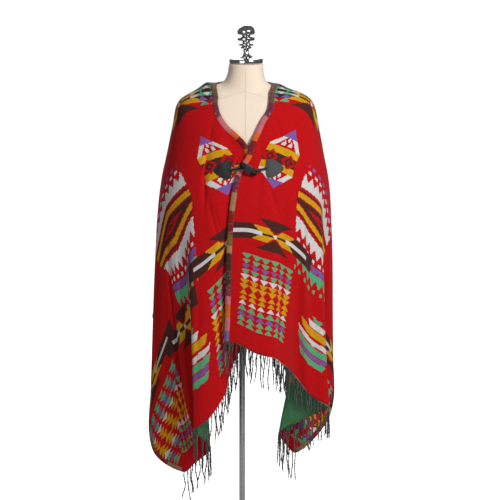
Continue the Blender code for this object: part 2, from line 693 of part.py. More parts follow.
def turned(name, profile, middle_x, finish):
    """A part turned about an upright axis from a profile that starts and ends on it."""
    bm = bmesh.new()
    verts = [bm.verts.new((turn.r, 0, turn.z)) for turn in profile]
    edges = [bm.edges.new(pair) for pair in zip(verts, verts[1:])]
    bmesh.ops.spin(bm, geom=verts + edges, cent=(0, 0, 0), axis=(0, 0, 1),
                   angle=math.tau, steps=TURN_SIDES, use_merge=True)
    bmesh.ops.translate(bm, verts=bm.verts, vec=(middle_x, 0, 0))
    return add_object(name, bm, finish)


def neck_cap():
    """The metal cap on the neck."""
    low, high = NECK_TOP_Z + GAP, NECK_TOP_Z + CAP_HEIGHT
    profile = (
        Turn(0, high), Turn(CAP_RADIUS - CAP_EDGE, high), Turn(CAP_RADIUS, high - CAP_EDGE),
        Turn(CAP_RADIUS, low + CAP_FOOT), Turn(CAP_RADIUS - CAP_FOOT, low), Turn(0, low),
    )
    return turned("neck_cap", profile, NECK_X, "polished_metal")


def pole():
    """The stand's upright tube, from the base up to the body of the form."""
    low, high = BASE_HUB_TOP + GAP, TORSO[-1].z - GAP
    profile = (Turn(0, high), Turn(POLE_RADIUS, high), Turn(POLE_RADIUS, low), Turn(0, low))
    return turned("stand_pole", profile, 0.0, "polished_metal")


def main():
    """Builds every piece of the poncho and its dress form."""
    for old in list(bpy.data.objects):
        bpy.data.objects.remove(old)
    back = back_grid()
    panel("back", back)
    for side in ("right", "left"):
        front = front_grid(side)
        panel(f"front_{side}", front)
        slit_edging(side, front)
        corner = column_number(side, 0, CORNER_REACH)
        side_edging(f"side_edging_front_{side}", front, slice(corner, -1))
        corner = column_number(side, SHOULDER_REACH, BACK_CORNER_REACH)
        stretch = slice(1, corner + 1) if side == "right" else slice(-corner - 1, -1)
        side_edging(f"side_edging_back_{side}", back, stretch)
        front_fringe(side)
    back_neck_edging(back)
    back_fringe()
    leather_patch("right", RIGHT_PATCH, 1)
    leather_patch("left", LEFT_PATCH, -1)
    toggle()
    toggle_cord("right", RIGHT_PATCH, RIGHT_CORD)
    toggle_cord("left", LEFT_PATCH, LEFT_CORD)
    torso()
    neck_cap()
    turned("finial", FINIAL, NECK_X, "polished_metal")
    pole()
    turned("stand_base", BASE, 0.0, "polished_metal")


main()
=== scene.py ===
"""The looks of a fringed open-front poncho on a limbless dress form.

Metres, +Z up, the front faces -Y, and right and left are the viewer's. The cloth follows the
same fold tables as the solids, sampled more finely, with its smaller creases added.
Its pattern is painted in the flat cloth's own metres: u runs out from the slit, v runs from
the front hem over the shoulder line, where it is 0, to the back hem.
"""
from __future__ import annotations

import logging
import math
from collections import namedtuple
from dataclasses import dataclass, field
from enum import Enum

import bmesh
import bpy
import numpy as np
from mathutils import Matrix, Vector
from mathutils.bvhtree import BVHTree


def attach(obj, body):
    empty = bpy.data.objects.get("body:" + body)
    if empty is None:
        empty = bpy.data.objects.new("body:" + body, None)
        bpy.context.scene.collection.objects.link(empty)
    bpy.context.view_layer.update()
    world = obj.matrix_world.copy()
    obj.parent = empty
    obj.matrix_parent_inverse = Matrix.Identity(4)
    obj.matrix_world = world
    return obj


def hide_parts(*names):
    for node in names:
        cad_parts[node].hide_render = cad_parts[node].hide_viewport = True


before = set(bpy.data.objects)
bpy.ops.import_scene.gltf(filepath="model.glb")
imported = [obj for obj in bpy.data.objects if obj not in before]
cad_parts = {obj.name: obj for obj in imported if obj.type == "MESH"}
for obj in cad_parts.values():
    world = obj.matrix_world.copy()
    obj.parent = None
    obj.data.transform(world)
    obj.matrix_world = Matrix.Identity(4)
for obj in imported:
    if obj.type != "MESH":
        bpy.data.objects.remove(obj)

LOG = logging.getLogger("poncho")
MM = 0.001
MERGE_DISTANCE = 1e-7
SPIN_MERGE_DISTANCE = 1e-6

# Driving dimensions
CLOTH_THICK = 2 * MM
HALF_CUT_WIDTH = 0.80
HALF_CUT_LENGTH = 0.78
FRONT_CUT = (0.74, 0.78)
BACK_CUT = (1.36, 0.64)
SLIT_TO_TOGGLE = 0.59
SLIT_PAST_SHOULDER = 0.15
ROUNDNESS = 2.25
FORM_X = 0.010
NECK_AXIS_X = 0.0125
CORNER_REACH = HALF_CUT_WIDTH
SHOULDER_REACH = HALF_CUT_WIDTH + HALF_CUT_LENGTH
BACK_CORNER_REACH = SHOULDER_REACH + HALF_CUT_LENGTH
FULL_REACH = BACK_CORNER_REACH + HALF_CUT_WIDTH
V_BOTTOM = SLIT_TO_TOGGLE - HALF_CUT_LENGTH
SEAM_HALF_GAP = 2 * MM
TOGGLE_TILT_DEG = 33

Level = namedtuple("Level", "name right_x left_x side_z front_y front_z back_y back_z")
LEVELS = (
    Level("neck", 0.078, 0.062, 1.441, -0.056, 1.425, 0.060, 1.447),
    Level("collar", 0.112, 0.104, 1.431, -0.072, 1.405, 0.082, 1.431),
    Level("shoulder", 0.178, 0.156, 1.410, -0.092, 1.370, 0.104, 1.392),
    Level("tip", 0.212, 0.191, 1.380, -0.106, 1.335, 0.122, 1.342),
    Level("arm", 0.228, 0.206, 1.310, -0.124, 1.270, 0.138, 1.270),
    Level("bust", 0.250, 0.231, 1.190, -0.150, 1.180, 0.150, 1.180),
)
LAST_LEVEL = len(LEVELS) - 1
LEVEL_PLACES = np.arange(len(LEVELS), dtype=float)
LEVEL_VALUES = np.array([level[1:] for level in LEVELS])


class Side(Enum):
    """Which half of the cloth, as the viewer sees it from the front."""

    RIGHT = "right"
    LEFT = "left"

    @property
    def sign(self) -> int:
        """1 towards +X, -1 towards -X."""
        return 1 if self is Side.RIGHT else -1


Lump = namedtuple("Lump", "side deg level height wide_deg wide_level")
LUMPS = (
    Lump(Side.LEFT, 84, 1.00, 0.013, 26, 0.42),
    Lump(Side.LEFT, 62, 0.55, -0.003, 12, 0.35),
    Lump(Side.LEFT, 48, 2.30, -0.006, 7, 1.10),
    Lump(Side.RIGHT, 86, 0.95, 0.008, 24, 0.35),
    Lump(Side.RIGHT, 66, 0.60, -0.002, 10, 0.30),
)

Column = namedtuple("Column", "name reach top_deg top_level bust_deg hem_x hem_y hem_z under",
                    defaults=(0.0,))
COLUMNS = {
    Side.RIGHT: (
        Column("slit", 0.00, 4, 4.00, -3, -0.052, -0.205, 0.692),
        Column("edging", 0.018, 5.5, 3.76, 0.5, -0.039, -0.210, 0.701),
        Column("lap", 0.05, 8, 3.45, 6, -0.018, -0.215, 0.704),
        Column("front", 0.12, 12, 2.90, 14, 0.040, -0.224, 0.676),
        Column("front edge", 0.21, 18, 2.30, 26, 0.110, -0.214, 0.652),
        Column("trough", 0.32, 26, 1.70, 36, 0.156, -0.150, 0.590),
        Column("trough side", 0.41, 34, 1.30, 44, 0.204, -0.136, 0.527),
        Column("outer fold", 0.475, 44, 0.95, 53, 0.256, -0.140, 0.493),
        Column("outer turn", 0.51, 50, 0.80, 58, 0.250, -0.112, 0.478),
        Column("green face", 0.60, 56, 0.68, 63, 0.180, -0.094, 0.440),
        Column("inner fold", 0.69, 62, 0.58, 68, 0.112, -0.080, 0.396),
        Column("inner turn", 0.72, 66, 0.52, 72, 0.118, -0.052, 0.372),
        Column("front corner", 0.80, 72, 0.46, 77, 0.166, -0.036, 0.322),
        Column("side hem", 0.96, 80, 0.38, 83, 0.262, -0.022, 0.425),
        Column("side ridge", 1.12, 84, 0.34, 87, 0.277, 0.012, 0.545),
        Column("side trough", 1.34, 88, 0.32, 91, 0.238, 0.038, 0.665),
        Column("shoulder line", 1.58, 92, 0.30, 95, 0.274, 0.062, 0.735),
        Column("back trough", 1.82, 98, 0.26, 101, 0.231, 0.082, 0.655),
        Column("back ridge", 2.10, 105, 0.22, 108, 0.268, 0.128, 0.500),
        Column("back corner", 2.36, 114, 0.18, 116, 0.220, 0.184, 0.350),
        Column("back turn", 2.47, 122, 0.16, 124, 0.174, 0.136, 0.405),
        Column("back fold", 2.60, 132, 0.14, 134, 0.150, 0.190, 0.485),
        Column("back dip", 2.74, 142, 0.12, 146, 0.116, 0.158, 0.575),
        Column("back flute", 2.88, 154, 0.10, 158, 0.081, 0.219, 0.680),
        Column("back hollow", 3.02, 166, 0.10, 169, 0.042, 0.156, 0.735),
        Column("middle back", 3.16, 180, 0.10, 180, 0.000, 0.208, 0.765),
    ),
    Side.LEFT: (
        Column("slit", 0.00, -3, 4.00, -13, 0.085, -0.158, 0.722, 0.015),
        Column("edging", 0.018, -0.5, 3.76, -9.5, 0.070, -0.160, 0.716, 0.015),
        Column("under lap", 0.055, 4.5, 3.45, -4, 0.038, -0.168, 0.704, 0.014),
        Column("lap line", 0.10, 10, 3.20, 3, -0.004, -0.184, 0.676, 0.011),
        Column("dark flap", 0.16, 14, 2.95, 9, -0.036, -0.170, 0.600, 0.005),
        Column("flap edge", 0.21, 17, 2.70, 14, -0.050, -0.188, 0.545),
        Column("front", 0.30, 21, 2.35, 23, -0.096, -0.200, 0.474),
        Column("outer fold", 0.38, 26, 1.90, 31, -0.141, -0.190, 0.437),
        Column("outer turn", 0.42, 31, 1.58, 35, -0.136, -0.162, 0.416),
        Column("inner fold", 0.50, 36, 1.25, 41, -0.095, -0.144, 0.371),
        Column("inner turn", 0.54, 42, 1.05, 46, -0.102, -0.120, 0.346),
        Column("third face", 0.66, 50, 0.80, 54, -0.142, -0.116, 0.312),
        Column("front corner", 0.80, 60, 0.60, 63, -0.180, -0.108, 0.283),
        Column("side hem", 0.97, 70, 0.46, 73, -0.266, -0.064, 0.330),
        Column("side ridge", 1.12, 78, 0.38, 82, -0.280, -0.020, 0.440),
        Column("side trough", 1.34, 85, 0.34, 89, -0.240, 0.024, 0.610),
        Column("shoulder line", 1.58, 92, 0.30, 95, -0.272, 0.062, 0.720),
        Column("back trough", 1.82, 98, 0.26, 101, -0.234, 0.084, 0.640),
        Column("back ridge", 2.10, 105, 0.22, 108, -0.270, 0.126, 0.480),
        Column("back corner", 2.36, 114, 0.18, 116, -0.222, 0.184, 0.330),
        Column("back turn", 2.48, 122, 0.16, 124, -0.178, 0.136, 0.390),
        Column("back fold", 2.60, 132, 0.14, 134, -0.155, 0.187, 0.470),
        Column("back dip", 2.73, 142, 0.12, 145, -0.118, 0.159, 0.556),
        Column("back flute", 2.87, 154, 0.10, 157, -0.086, 0.211, 0.665),
        Column("back hollow", 3.02, 166, 0.10, 168, -0.046, 0.156, 0.728),
        Column("middle back", 3.16, 180, 0.10, 180, 0.000, 0.208, 0.765),
    ),
}

# Smaller creases. A crease runs from one way along the cut edge to another
# between two shares of the column's length, and stands proud where its depth is positive.
Crease = namedtuple("Crease", "side start_reach end_reach top low depth wide")
CREASES = (
    Crease(Side.LEFT, 0.16, 0.12, 0.10, 0.42, -3.0 * MM, 0.020),
    Crease(Side.LEFT, 0.34, 0.30, 0.02, 0.34, -4.5 * MM, 0.026),
    Crease(Side.LEFT, 0.26, 0.14, 0.40, 0.62, 2.2 * MM, 0.016),
    Crease(Side.LEFT, 0.33, 0.37, 0.52, 0.98, -3.0 * MM, 0.018),
    Crease(Side.LEFT, 0.28, 0.20, 0.28, 0.46, -4.0 * MM, 0.009),
    Crease(Side.LEFT, 0.24, 0.15, 0.32, 0.50, -3.5 * MM, 0.008),
    Crease(Side.LEFT, 0.36, 0.30, 0.10, 0.30, -5.0 * MM, 0.012),
    Crease(Side.LEFT, 0.62, 0.66, 0.45, 0.95, 3.0 * MM, 0.022),
    Crease(Side.LEFT, 0.76, 0.72, 0.40, 1.02, -11.0 * MM, 0.034),
    Crease(Side.LEFT, 0.93, 0.99, 0.40, 0.92, -4.0 * MM, 0.030),
    Crease(Side.LEFT, 1.22, 1.20, 0.30, 0.90, 4.0 * MM, 0.034),
    Crease(Side.LEFT, 1.46, 1.50, 0.36, 0.98, 4.5 * MM, 0.036),
    Crease(Side.LEFT, 1.70, 1.66, 0.24, 0.96, 4.0 * MM, 0.032),
    Crease(Side.LEFT, 1.96, 1.99, 0.34, 0.90, -4.5 * MM, 0.034),
    Crease(Side.LEFT, 2.24, 2.20, 0.30, 0.97, 4.0 * MM, 0.030),
    Crease(Side.LEFT, 2.80, 2.78, 0.20, 0.80, 3.0 * MM, 0.022),
    Crease(Side.RIGHT, 0.10, 0.07, 0.06, 0.40, -2.5 * MM, 0.020),
    Crease(Side.RIGHT, 0.27, 0.24, 0.04, 0.30, -3.0 * MM, 0.024),
    Crease(Side.RIGHT, 0.16, 0.17, 0.48, 0.98, 2.5 * MM, 0.020),
    Crease(Side.RIGHT, 0.190, 0.235, 0.34, 1.15, -13.0 * MM, 0.032),
    Crease(Side.RIGHT, 0.330, 0.405, 0.34, 1.15, 15.0 * MM, 0.044),
    Crease(Side.RIGHT, 0.12, 0.18, 0.24, 0.44, -3.0 * MM, 0.010),
    Crease(Side.RIGHT, 0.055, 0.03, 0.60, 0.99, -2.0 * MM, 0.014),
    Crease(Side.RIGHT, 0.38, 0.44, 0.40, 0.92, -3.5 * MM, 0.022),
    Crease(Side.RIGHT, 0.88, 0.92, 0.42, 0.94, 4.0 * MM, 0.030),
    Crease(Side.RIGHT, 1.04, 1.06, 0.30, 0.86, -4.0 * MM, 0.028),
    Crease(Side.RIGHT, 1.24, 1.20, 0.34, 0.95, 4.5 * MM, 0.034),
    Crease(Side.RIGHT, 1.48, 1.44, 0.26, 0.98, -4.0 * MM, 0.034),
    Crease(Side.RIGHT, 1.72, 1.76, 0.32, 0.92, 5.0 * MM, 0.034),
    Crease(Side.RIGHT, 1.97, 1.94, 0.28, 0.97, -4.5 * MM, 0.034),
    Crease(Side.RIGHT, 2.23, 2.26, 0.36, 0.94, -4.0 * MM, 0.028),
    Crease(Side.RIGHT, 2.68, 2.66, 0.22, 0.84, -2.5 * MM, 0.020),
)


def smooth_read(places: np.ndarray, values: np.ndarray, at: np.ndarray) -> np.ndarray:
    """Reads a smooth curve through rows of values.

    Args:
        places: Rising places, one for each row of values.
        values: The rows.
        at: Places to read, of any shape.

    Returns:
        The rows read, with the shape of at and one more axis.
    """
    at = np.asarray(at, dtype=float)
    k = np.clip(np.searchsorted(places, at) - 1, 0, len(places) - 2)
    before, after = np.maximum(k - 1, 0), np.minimum(k + 2, len(places) - 1)
    span = places[k + 1] - places[k]
    f = ((at - places[k]) / span)[..., None]
    into = (values[k + 1] - values[before]) * (span / (places[k + 1] - places[before]))[..., None]
    away = (values[after] - values[k]) * (span / (places[after] - places[k]))[..., None]
    return (
        values[k] * (1 + 2 * f) * (1 - f) ** 2
        + into * f * (1 - f) ** 2
        + values[k + 1] * f * f * (3 - 2 * f)
        + away * f * f * (f - 1)
    )


def unit(vectors: np.ndarray) -> np.ndarray:
    """The same directions at length 1."""
    return vectors / np.maximum(np.linalg.norm(vectors, axis=-1, keepdims=True), 1e-12)


def lengths_along(points: np.ndarray) -> np.ndarray:
    """Distance from the first point to each point of a line."""
    steps = np.linalg.norm(np.diff(points, axis=0), axis=1)
    return np.concatenate(([0.0], np.cumsum(steps)))


def read_line(points: np.ndarray, run: np.ndarray, at: np.ndarray) -> np.ndarray:
    """Points of a line, whose own points lie at distances run, at the distances at."""
    return np.column_stack([np.interp(at, run, points[:, k]) for k in range(3)])


def signed_power(values: np.ndarray, power: float) -> np.ndarray:
    """A power that keeps the sign."""
    return np.sign(values) * np.abs(values) ** power


@dataclass
class Drape:
    """The cloth's middle surface over the form, at any way along the cut edge and any share
    of the column from the neckline down to the hem."""

    shoulder_samples: int = 40
    hang_samples: int = 40
    step: float = 0.003
    bust_lead: float = 0.25
    hem_lead: float = 0.30
    bust_u: float = 0.30
    bust_front_v: float = 0.27
    bust_back_v: float = 0.42

    def over_body(
        self, side: Side, deg: np.ndarray, level: np.ndarray, inward: np.ndarray
    ) -> np.ndarray:
        """Points over the shoulders and bust.

        Args:
            side: Which half of the cloth.
            deg: Bearings from the front, in degrees.
            level: Levels of the shoulder table.
            inward: How far each point lies beneath the surface.

        Returns:
            The points.
        """
        rows = smooth_read(LEVEL_PLACES, LEVEL_VALUES, level)
        right_x, left_x, side_z, front_y, front_z, back_y, back_z = np.moveaxis(rows, -1, 0)
        across = right_x if side is Side.RIGHT else -left_x
        turn = np.radians(deg)
        s, c = np.sin(turn), np.cos(turn)
        wide, deep = signed_power(s, 2 / ROUNDNESS), signed_power(c, 2 / ROUNDNESS)
        depth, end_z = np.where(c > 0, front_y, back_y), np.where(c > 0, front_z, back_z)
        middle_x = FORM_X * (1 - np.abs(wide)) * np.maximum(0, 1 - level / LAST_LEVEL)
        x, y = middle_x + across * wide, -np.abs(depth) * deep
        z = side_z + (end_z - side_z) * c * c
        lift = np.zeros_like(z)
        for lump in (one for one in LUMPS if one.side is side):
            lift += lump.height * np.exp(
                -(((deg - lump.deg) / lump.wide_deg) ** 2)
                - ((level - lump.level) / lump.wide_level) ** 2
            )
        outward = unit(np.stack((x - FORM_X, y, np.full_like(x, 0.12)), axis=-1))
        return np.stack((x, y, z + lift), axis=-1) - outward * np.asarray(inward)[..., None]

    def columns(self, side: Side, reaches: np.ndarray, shares: np.ndarray) -> np.ndarray:
        """The cloth without its small creases, as columns of points.

        Args:
            side: Which half of the cloth.
            reaches: Ways along the cut edge, one for each column.
            shares: Shares of a column's length, from the neckline to the hem.

        Returns:
            Points in an array of columns by shares.
        """
        table = COLUMNS[side]
        places = np.array([row.reach for row in table])
        values = np.array([row[2:] for row in table], dtype=float)
        read = smooth_read(places, values, np.clip(reaches, 0, FULL_REACH))
        top_deg, top_level, bust_deg, under = (read[:, k, None] for k in (0, 1, 2, -1))
        hem = read[:, None, 3:6]
        f = np.linspace(0, 1, self.shoulder_samples)[None, :]
        level = top_level + (LAST_LEVEL - top_level) * f
        deg = top_deg + (bust_deg - top_deg) * f * f * (3 - 2 * f)
        over = self.over_body(side, deg, level, under * np.minimum(1, f * 2 + 0.25))
        bust = over[:, -1:]
        quarter = self.shoulder_samples // 4
        drop = np.linalg.norm(hem - bust, axis=-1, keepdims=True)
        lead = unit(bust - over[:, -1 - quarter : -quarter]) * drop * self.bust_lead
        lead[..., 2:] = np.minimum(lead[..., 2:], -drop * 0.1)
        tail = (hem - bust) * self.hem_lead
        f = np.linspace(0, 1, self.hang_samples + 1)[1:][None, :, None]
        g = 1 - f
        hang = (
            bust * g**3 + (bust + lead) * 3 * g * g * f + (hem - tail) * 3 * g * f * f + hem * f**3
        )
        made = []
        for line in np.concatenate((over, hang), axis=1):
            run = lengths_along(line)
            made.append(read_line(line, run, np.asarray(shares) * run[-1]))
        return np.array(made)

    def crease_lift(self, side: Side, reaches: np.ndarray, shares: np.ndarray) -> np.ndarray:
        """How far the small creases lift each point of a grid of columns by shares.

        Args:
            side: Which half of the cloth.
            reaches: Ways along the cut edge, one for each column.
            shares: Shares of a column's length.

        Returns:
            The lifts, in metres.
        """
        reach, share = np.meshgrid(reaches, shares, indexing="ij")
        lift = np.zeros_like(reach)
        for crease in (one for one in CREASES if one.side is side):
            way = np.clip((share - crease.top) / (crease.low - crease.top), 0, 1)
            middle = crease.start_reach + (crease.end_reach - crease.start_reach) * way
            window = np.sin(math.pi * way) ** 0.7
            lift += crease.depth * window * np.exp(-(((reach - middle) / crease.wide) ** 2))
        return lift

    def surface(self, side: Side, reaches: np.ndarray, shares: np.ndarray) -> np.ndarray:
        """The cloth's middle surface with its creases.

        Args:
            side: Which half of the cloth.
            reaches: Ways along the cut edge, one for each column.
            shares: Shares of a column's length.

        Returns:
            Points in an array of columns by shares.
        """
        points = self.columns(side, reaches, shares)
        ahead = self.columns(side, np.minimum(reaches + self.step, FULL_REACH), shares)
        behind = self.columns(side, np.maximum(reaches - self.step, 0), shares)
        out = unit(np.cross(np.gradient(points, axis=1), ahead - behind)) * side.sign
        return points + out * self.crease_lift(side, reaches, shares)[..., None]

    def flat(self, side: Side, reaches: np.ndarray, shares: np.ndarray) -> np.ndarray:
        """Where each point lies on the flat cloth.

        A column leaves the neckline, crosses the bust at the place that the flat cloth has
        there, and ends at the cut edge; between them it is read smoothly.

        Args:
            side: Which half of the cloth.
            reaches: Ways along the cut edge, one for each column.
            shares: Shares of a column's length.

        Returns:
            u and v in metres, in an array of columns by shares.
        """
        ways = np.linspace(0, FULL_REACH, 400)
        neck = lengths_along(self.columns(side, ways, np.zeros(1))[:, 0])
        top = V_BOTTOM + neck / neck[-1] * (SLIT_PAST_SHOULDER - V_BOTTOM)
        edge = np.array((0, CORNER_REACH, BACK_CORNER_REACH, FULL_REACH))
        edge_u = np.interp(reaches, edge, (0, HALF_CUT_WIDTH, HALF_CUT_WIDTH, 0))
        edge_v = np.interp(reaches, edge, HALF_CUT_LENGTH * np.array((-1, -1, 1, 1)))
        table = COLUMNS[side]
        places = np.array([row.reach for row in table])
        bearings = np.array([row.bust_deg for row in table], dtype=float)
        bearing = smooth_read(places, bearings[:, None], reaches)[:, 0]
        turn = np.radians(np.interp(bearing, (bearings[0], 95, 180), (0, 90, 180)))
        s, c = np.sin(turn), signed_power(np.cos(turn), 2 / ROUNDNESS)
        bust_u = self.bust_u * s ** (2 / ROUNDNESS)
        bust_v = -c * np.where(c > 0, self.bust_front_v, self.bust_back_v)
        lines = self.columns(side, reaches, np.linspace(0, 1, 60))
        made = []
        for k, line in enumerate(lines):
            bust = np.interp(-LEVELS[-1].side_z, -line[:, 2], np.linspace(0, 1, 60))
            rows = np.array(((0, np.interp(reaches[k], ways, top)), (bust_u[k], bust_v[k]),
                             (edge_u[k], edge_v[k])))
            made.append(smooth_read(np.array((0, bust, 1.0)), rows, np.asarray(shares)))
        flat = np.array(made)
        flat[..., 0] *= side.sign
        return flat


def grid_piece(bm: bmesh.types.BMesh, points: np.ndarray, flat: np.ndarray | None = None) -> None:
    """Adds a grid to a bmesh, moved onto an array of points.

    Args:
        bm: The bmesh that takes the grid.
        points: Points in rows of equal length.
        flat: The points' places on the flat piece, kept as its UV map.
    """
    rows, across = points.shape[:2]
    made = bmesh.ops.create_grid(bm, x_segments=across - 1, y_segments=rows - 1, size=1)
    verts = made["verts"]
    for vert, place in zip(verts, points.reshape(-1, 3)):
        vert.co = place
    if flat is None:
        return
    uv = bm.loops.layers.uv.verify()
    places = {vert: place for vert, place in zip(verts, flat.reshape(-1, 2))}
    for face in {face for vert in verts for face in vert.link_faces}:
        for loop in face.loops:
            loop[uv].uv = places[loop.vert]


def sleeve(bm: bmesh.types.BMesh, rings: np.ndarray, around: float, along: np.ndarray) -> None:
    """Adds a bar through rings of points, still open at its seam and ends.

    Args:
        bm: The bmesh that takes the bar.
        rings: Rings of points, in an array of rings by points.
        around: The UV map's width once round the bar.
        along: The UV map's height at each ring.
    """
    closed = np.concatenate((rings, rings[:, :1]), axis=1)
    u = np.linspace(0, around, closed.shape[1])
    flat = np.stack(np.broadcast_arrays(u[None, :], np.asarray(along)[:, None]), axis=-1)
    grid_piece(bm, closed, flat)


def fill_ends(bm: bmesh.types.BMesh) -> None:
    """Closes every open rim."""
    rims = [edge for edge in bm.edges if edge.is_boundary]
    bmesh.ops.holes_fill(bm, edges=rims, sides=0)


def rings_piece(bm: bmesh.types.BMesh, rings: np.ndarray, around: float,
                along: np.ndarray) -> None:
    """Adds a closed bar with flat ends through rings of points.

    Args:
        bm: The bmesh that takes the bar.
        rings: Rings of points, in an array of rings by points.
        around: The UV map's width once round the bar.
        along: The UV map's height at each ring.
    """
    before = len(bm.verts)
    sleeve(bm, rings, around, along)
    bm.verts.ensure_lookup_table()
    bmesh.ops.remove_doubles(bm, verts=bm.verts[before:], dist=MERGE_DISTANCE)
    fill_ends(bm)


def round_rings(path: np.ndarray, radii: np.ndarray, sides: int) -> np.ndarray:
    """Rings square to a path.

    Args:
        path: Points along the middle.
        radii: The radius at each point.
        sides: Points in a ring.

    Returns:
        The rings.
    """
    ways = unit(np.gradient(path, axis=0))
    side = np.cross(ways[0], (0.0, 0.0, 1.0))
    if np.linalg.norm(side) < 0.1:
        side = np.cross(ways[0], (1.0, 0.0, 0.0))
    turn = np.linspace(0, math.tau, sides, endpoint=False)[:, None]
    rings = []
    for place, way, radius in zip(path, ways, radii):
        side = unit(side - way * np.dot(side, way))
        up = np.cross(way, side)
        rings.append(place + radius * (np.cos(turn) * side + np.sin(turn) * up))
    return np.array(rings)


def turn_map(bm: bmesh.types.BMesh) -> None:
    """Turns a UV map so that u runs along the piece.

    Args:
        bm: The bmesh whose map is turned.
    """
    uv = bm.loops.layers.uv.verify()
    for face in bm.faces:
        for loop in face.loops:
            loop[uv].uv = loop[uv].uv.yx


def spin_profile(bm: bmesh.types.BMesh, profile: list[tuple[float, float]], steps: int) -> None:
    """Turns a profile about the z axis.

    Args:
        bm: The bmesh that takes the turned part.
        profile: Radii and heights.
        steps: Faces once round.
    """
    verts = [bm.verts.new((radius, 0, z)) for radius, z in profile]
    edges = [bm.edges.new(pair) for pair in zip(verts, verts[1:])]
    bmesh.ops.spin(bm, geom=verts + edges, cent=(0, 0, 0), axis=(0, 0, 1),
                   angle=math.tau, steps=steps, use_merge=True)
    bmesh.ops.remove_doubles(bm, verts=bm.verts, dist=SPIN_MERGE_DISTANCE)


def finished(name: str, bm: bmesh.types.BMesh, materials: list[bpy.types.Material],
             nodes: tuple[str, ...]) -> bpy.types.Object:
    """Turns a bmesh into a finished piece that rides on the part's one body.

    Args:
        name: The piece's name.
        bm: Its shape, which is used up.
        materials: Its finishes.
        nodes: The solids that it stands for.

    Returns:
        The piece.
    """
    mesh = bpy.data.meshes.new(name)
    bm.to_mesh(mesh)
    bm.free()
    mesh.shade_smooth()
    for material in materials:
        mesh.materials.append(material)
    piece = bpy.data.objects.new(name, mesh)
    bpy.context.scene.collection.objects.link(piece)
    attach(piece, "root")
    if nodes:
        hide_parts(*nodes)
    LOG.info("%s: %d faces", name, len(mesh.polygons))
    return piece


def closed_piece(name: str, bm: bmesh.types.BMesh, material: bpy.types.Material,
                 nodes: tuple[str, ...] = ()) -> bpy.types.Object:
    """Turns a closed bmesh into a piece of one finish, its faces pointing out."""
    bmesh.ops.recalc_face_normals(bm, faces=bm.faces)
    return finished(name, bm, [material], nodes)


def add_bevel(piece: bpy.types.Object, width: float) -> None:
    """Rounds a piece's sharp edges.

    Args:
        piece: The piece.
        width: How wide the bevel is.
    """
    bevel = piece.modifiers.new("rounded edges", "BEVEL")
    bevel.width, bevel.segments = width, 3
    bevel.limit_method, bevel.angle_limit = "ANGLE", math.radians(35)
    bevel.use_clamp_overlap = True


def add_subdivision(piece: bpy.types.Object, levels: int) -> None:
    """Smooths a piece, alike in the viewport and the render."""
    smooth = piece.modifiers.new("smoothed", "SUBSURF")
    smooth.levels = smooth.render_levels = levels


class Dye(Enum):
    """Colours of the cloth and its trim, as red, green and blue from 0 to 255."""

    RED = (186, 12, 17)
    BROWN = (72, 36, 33)
    MUSTARD = (204, 150, 22)
    WHITE = (206, 203, 200)
    PURPLE = (118, 86, 158)
    GREEN = (84, 166, 120)
    REVERSE_GREEN = (72, 128, 84)
    BINDING_BROWN = (108, 66, 48)
    TAN = (166, 128, 90)
    PLUM = (118, 36, 66)
    PINK = (206, 112, 120)
    ORANGE = (226, 98, 30)
    DARK_RED = (132, 20, 22)
    OLIVE = (122, 92, 34)
    BLACK = (30, 30, 33)
    DEEP_BLACK = (14, 15, 15)
    HAIR = (96, 95, 100)
    LEFT_LEATHER = (26, 24, 25)
    # The right patch is the same leather as the left; its paler grey is a painted sheen.
    RIGHT_LEATHER_PAINTED_SHEEN = (74, 74, 75)
    CREAM = (246, 226, 204)
    HORN = (16, 17, 15)

    @property
    def linear(self) -> tuple[float, float, float, float]:
        """The colour as a shader takes it."""
        parts = [part / 255 for part in self.value]
        return (*(p / 12.92 if p < 0.04045 else ((p + 0.055) / 1.055) ** 2.4 for p in parts), 1.0)


